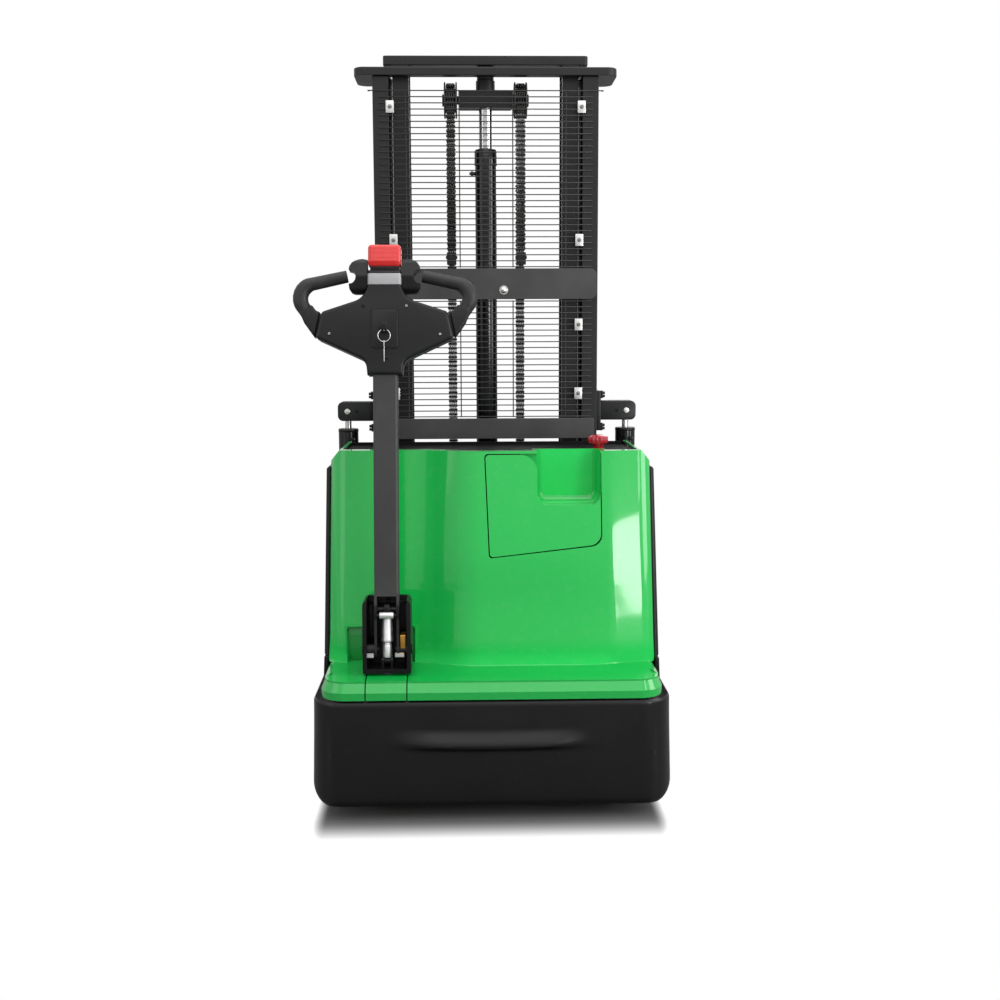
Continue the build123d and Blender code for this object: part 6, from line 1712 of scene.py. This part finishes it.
    def inner_units(self) -> None:
        """Battery, and the hydraulic unit with its cooling rings."""
        softened("battery", Finishes.case, "chassis", 2.0, 3)
        softened("pump_unit", Finishes.pump, "chassis", 1.6, 3)
        rings = Shape()
        x, y, low = self.pump
        for number in range(5):
            rings.lathe([(55.0, 0.0), (60.0, 1.0), (60.0, 7.0), (55.0, 8.0), (55.0, 0.0)],
                        (x, y, low + self.ring_step * number), segments=60)
        rings.piece("pump_cooling_rings", Finishes.pump, "chassis")


def dress_frame() -> None:
    """Give every CAD node a finish."""
    chosen = {
        Finishes.green: ("hood", "access_panel", "tiller_cover"),
        Finishes.bumper: ("skirt",),
        Finishes.trim: ("side_panels", "console_tray"),
        Finishes.head: ("head_lower_shell", "head_upper_shell"),
        Finishes.grip: ("grip_left", "grip_right"),
        Finishes.mast: ("mast_rails", "mast_tie", "mast_foot", "lower_crossbar", "guard_bar", "inner_rails",
                        "inner_top", "lift_cylinder", "crosshead", "lift_barrels", "lift_brackets",
                        "chassis_frame", "support_leg_left", "support_leg_right", "carriage_frame", "forks",
                        "wheel_arm_left", "wheel_arm_right"),
        Finishes.arm: ("tiller_arm", "tiller_bracket"),
        Finishes.zinc: ("pivot_pins", "mesh_clips", "push_rods", "chain_anchors", "key", "drive_hub"),
        Finishes.steel: ("spring_tube",),
        Finishes.chrome: ("piston_rod", "lift_rods", "spring_rod"),
        Finishes.chain: ("chains_rear", "chains_front", "chain_wraps"),
        Finishes.wire: ("mesh_guard",),
        Finishes.iron: ("drive_housing", "drive_motor", "caster_fork", "pulley_left", "pulley_right"),
        Finishes.tread: ("drive_tyre", "caster_wheels", "load_wheel_left", "load_wheel_right"),
        Finishes.red: ("stop_knob", "belly_button"),
        Finishes.control: ("throttle_knobs", "lift_rocker", "initial_lift_rocker"),
        Finishes.case: ("battery",),
        Finishes.pump: ("pump_unit",),
    }
    for finish, nodes in chosen.items():
        for node in nodes:
            dress(node, finish)


@dataclass
class Studio:
    """Camera, lights, floor and backdrop."""

    eye: Point = (-0.035, -3.9, 1.16)
    pitch: float = 7.5
    yaw: float = 1.5
    roll: float = 0.2
    sensor: float = 36.0
    focal: float = 1.24          # focal length over the sensor's width
    dome: Flat = (0.33, 1.25)
    mirrored: float = 0.4
    floor_half: float = 14.0
    reach: float = 60.0          # how far the camera sees, metres
    lamps: tuple[tuple[str, Point, Point, Flat, float], ...] = (
        ("Right softbox", (2.6, -1.6, 1.55), (0.35, -0.8, 0.7), (0.9, 1.9), 29.0),
        ("Pillar softbox", (1.62, -2.9, 0.90), (0.36, -0.85, 0.62), (0.62, 0.46), 13.0),
        ("Left softbox", (-2.9, -2.5, 1.7), (-0.3, -0.7, 0.8), (1.3, 2.2), 9.0),
        ("Overhead softbox", (0.1, -1.1, 3.6), (0.0, -0.7, 0.8), (2.6, 2.2), 26.0),
        ("Mast softbox", (1.95, -2.64, 1.95), (0.0, -0.34, 1.5), (0.35, 1.5), 8.0),
        ("Front softbox", (0.2, -4.2, 3.8), (0.0, -0.9, 0.7), (3.6, 2.2), 18.0),
        ("Rear softbox", (0.6, 2.9, 2.6), (0.0, -0.2, 0.9), (2.4, 1.6), 30.0))

    def build(self) -> None:
        """Make everything."""
        self.camera()
        self.world()
        self.floor()
        for lamp in self.lamps:
            self.softbox(*lamp)

    def camera(self) -> None:
        """Put the camera at the photograph's point of view."""
        data = bpy.data.cameras.new("Camera")
        data.lens = self.focal * self.sensor
        data.sensor_width = self.sensor
        data.clip_end = self.reach
        made = bpy.data.objects.new("Camera", data)
        made.location = self.eye
        made.rotation_euler = [math.radians(turn) for turn in (90.0 - self.pitch, self.roll, -self.yaw)]
        bpy.context.collection.objects.link(made)
        bpy.context.scene.camera = made
        bpy.context.scene.view_settings.view_transform = "Standard"

    def world(self) -> None:
        """Soft grey light, stronger from above, with white where the backdrop is seen."""
        world = bpy.data.worlds.new("Studio")
        world.use_nodes = True
        bpy.context.scene.world = world
        nodes = Nodes(world.node_tree)
        way = nodes.node("ShaderNodeTexCoord").outputs["Generated"]
        height = nodes.node("ShaderNodeSeparateXYZ", {}, {0: way}).outputs["Z"]
        dome = nodes.node("ShaderNodeMapRange", {}, dict(enumerate((height, -0.25, 0.75, *self.dome))))
        light = nodes.node("ShaderNodeBackground", {}, {"Color": WHITE, "Strength": dome.outputs[0]})
        white = nodes.node("ShaderNodeBackground", {}, {"Color": WHITE})
        mix = nodes.node("ShaderNodeMixShader", {}, {0: nodes.backdrop(self.mirrored), 1: light.outputs[0],
                                                     2: white.outputs[0]})
        nodes.node("ShaderNodeOutputWorld", {}, {0: mix.outputs[0]})

    def floor(self) -> None:
        """Pale floor that fades to white and keeps the truck's shadow, with a painted shadow that darkens its
        colour near the truck.
        """
        work = bmesh.new()
        bmesh.ops.create_grid(work, x_segments=1, y_segments=1, size=self.floor_half)
        data = bpy.data.meshes.new("Floor")
        work.to_mesh(data)
        work.free()
        made = bpy.data.objects.new("Floor", data)
        bpy.context.collection.objects.link(made)
        sheet = Sheet("Studio floor")
        glow = sheet.node("ShaderNodeEmission", {}, {"Color": WHITE, "Strength": 1.0})
        seen = sheet.backdrop(self.mirrored / 4.0)
        across = (sheet.place(0) - OFFSET_X * MM + 0.006).math("ABSOLUTE")

        def beyond(half_x: float, middle_y: float, half_y: float, steep: float) -> Value:
            """Distance outside a rectangle on the floor, which grows more steeply across than along."""
            out_x = (across * steep - half_x * steep).math("MAXIMUM", 0.0)
            out_y = ((sheet.place(1) - middle_y).math("ABSOLUTE") - half_y).math("MAXIMUM", 0.0)
            return (out_x ** 2.0 + out_y ** 2.0) ** 0.5

        # distance from the truck's footprint; it shapes the painted shadow and where the white glow fades in
        far = beyond(0.394, -0.655, 0.355, 3.6)
        forks = beyond(0.30, 0.30, 0.70, 1.5).span(0.0, 0.16) * 0.3 + 0.7
        # painted shadow: the floor's colour darkens from 0.17 to 0.085 towards the truck's footprint
        near = sheet.blend(far.span(0.0, 0.13), (0.085, 0.085, 0.085), (0.17, 0.17, 0.17))
        sheet.set(Base_Color=near, Roughness=0.9)
        mix = sheet.node("ShaderNodeMixShader", {}, {0: seen * forks * far.span(0.015, 0.12) ** 1.9,
                                                     1: sheet.shader.outputs[0], 2: glow.outputs[0]})
        sheet.feed(sheet.out.inputs["Surface"], mix.outputs[0])
        data.materials.append(sheet.material)

    def softbox(self, name: str, place: Point, aim: Point, size: Flat, power: float) -> None:
        """One rectangular area light.

        Args:
            name: the light's name.
            place: where it hangs, in metres.
            aim: the point it faces.
            size: width and height in metres.
            power: power in watts.
        """
        data = bpy.data.lights.new(name, "AREA")
        data.shape = "RECTANGLE"
        data.size, data.size_y = size
        data.energy = power
        made = bpy.data.objects.new(name, data)
        made.location = place
        made.rotation_euler = (Vector(aim) - Vector(place)).to_track_quat("-Z", "Y").to_euler()
        bpy.context.collection.objects.link(made)


def main() -> None:
    """Build the sub-assemblies in order, then the studio."""
    logging.basicConfig(level=logging.INFO, format="%(message)s")
    dress_frame()
    Covers().build()
    Tiller().build()
    Mast().build()
    Console().build()
    Running().build()
    Studio().build()


if __name__ == "__main__":
    main()
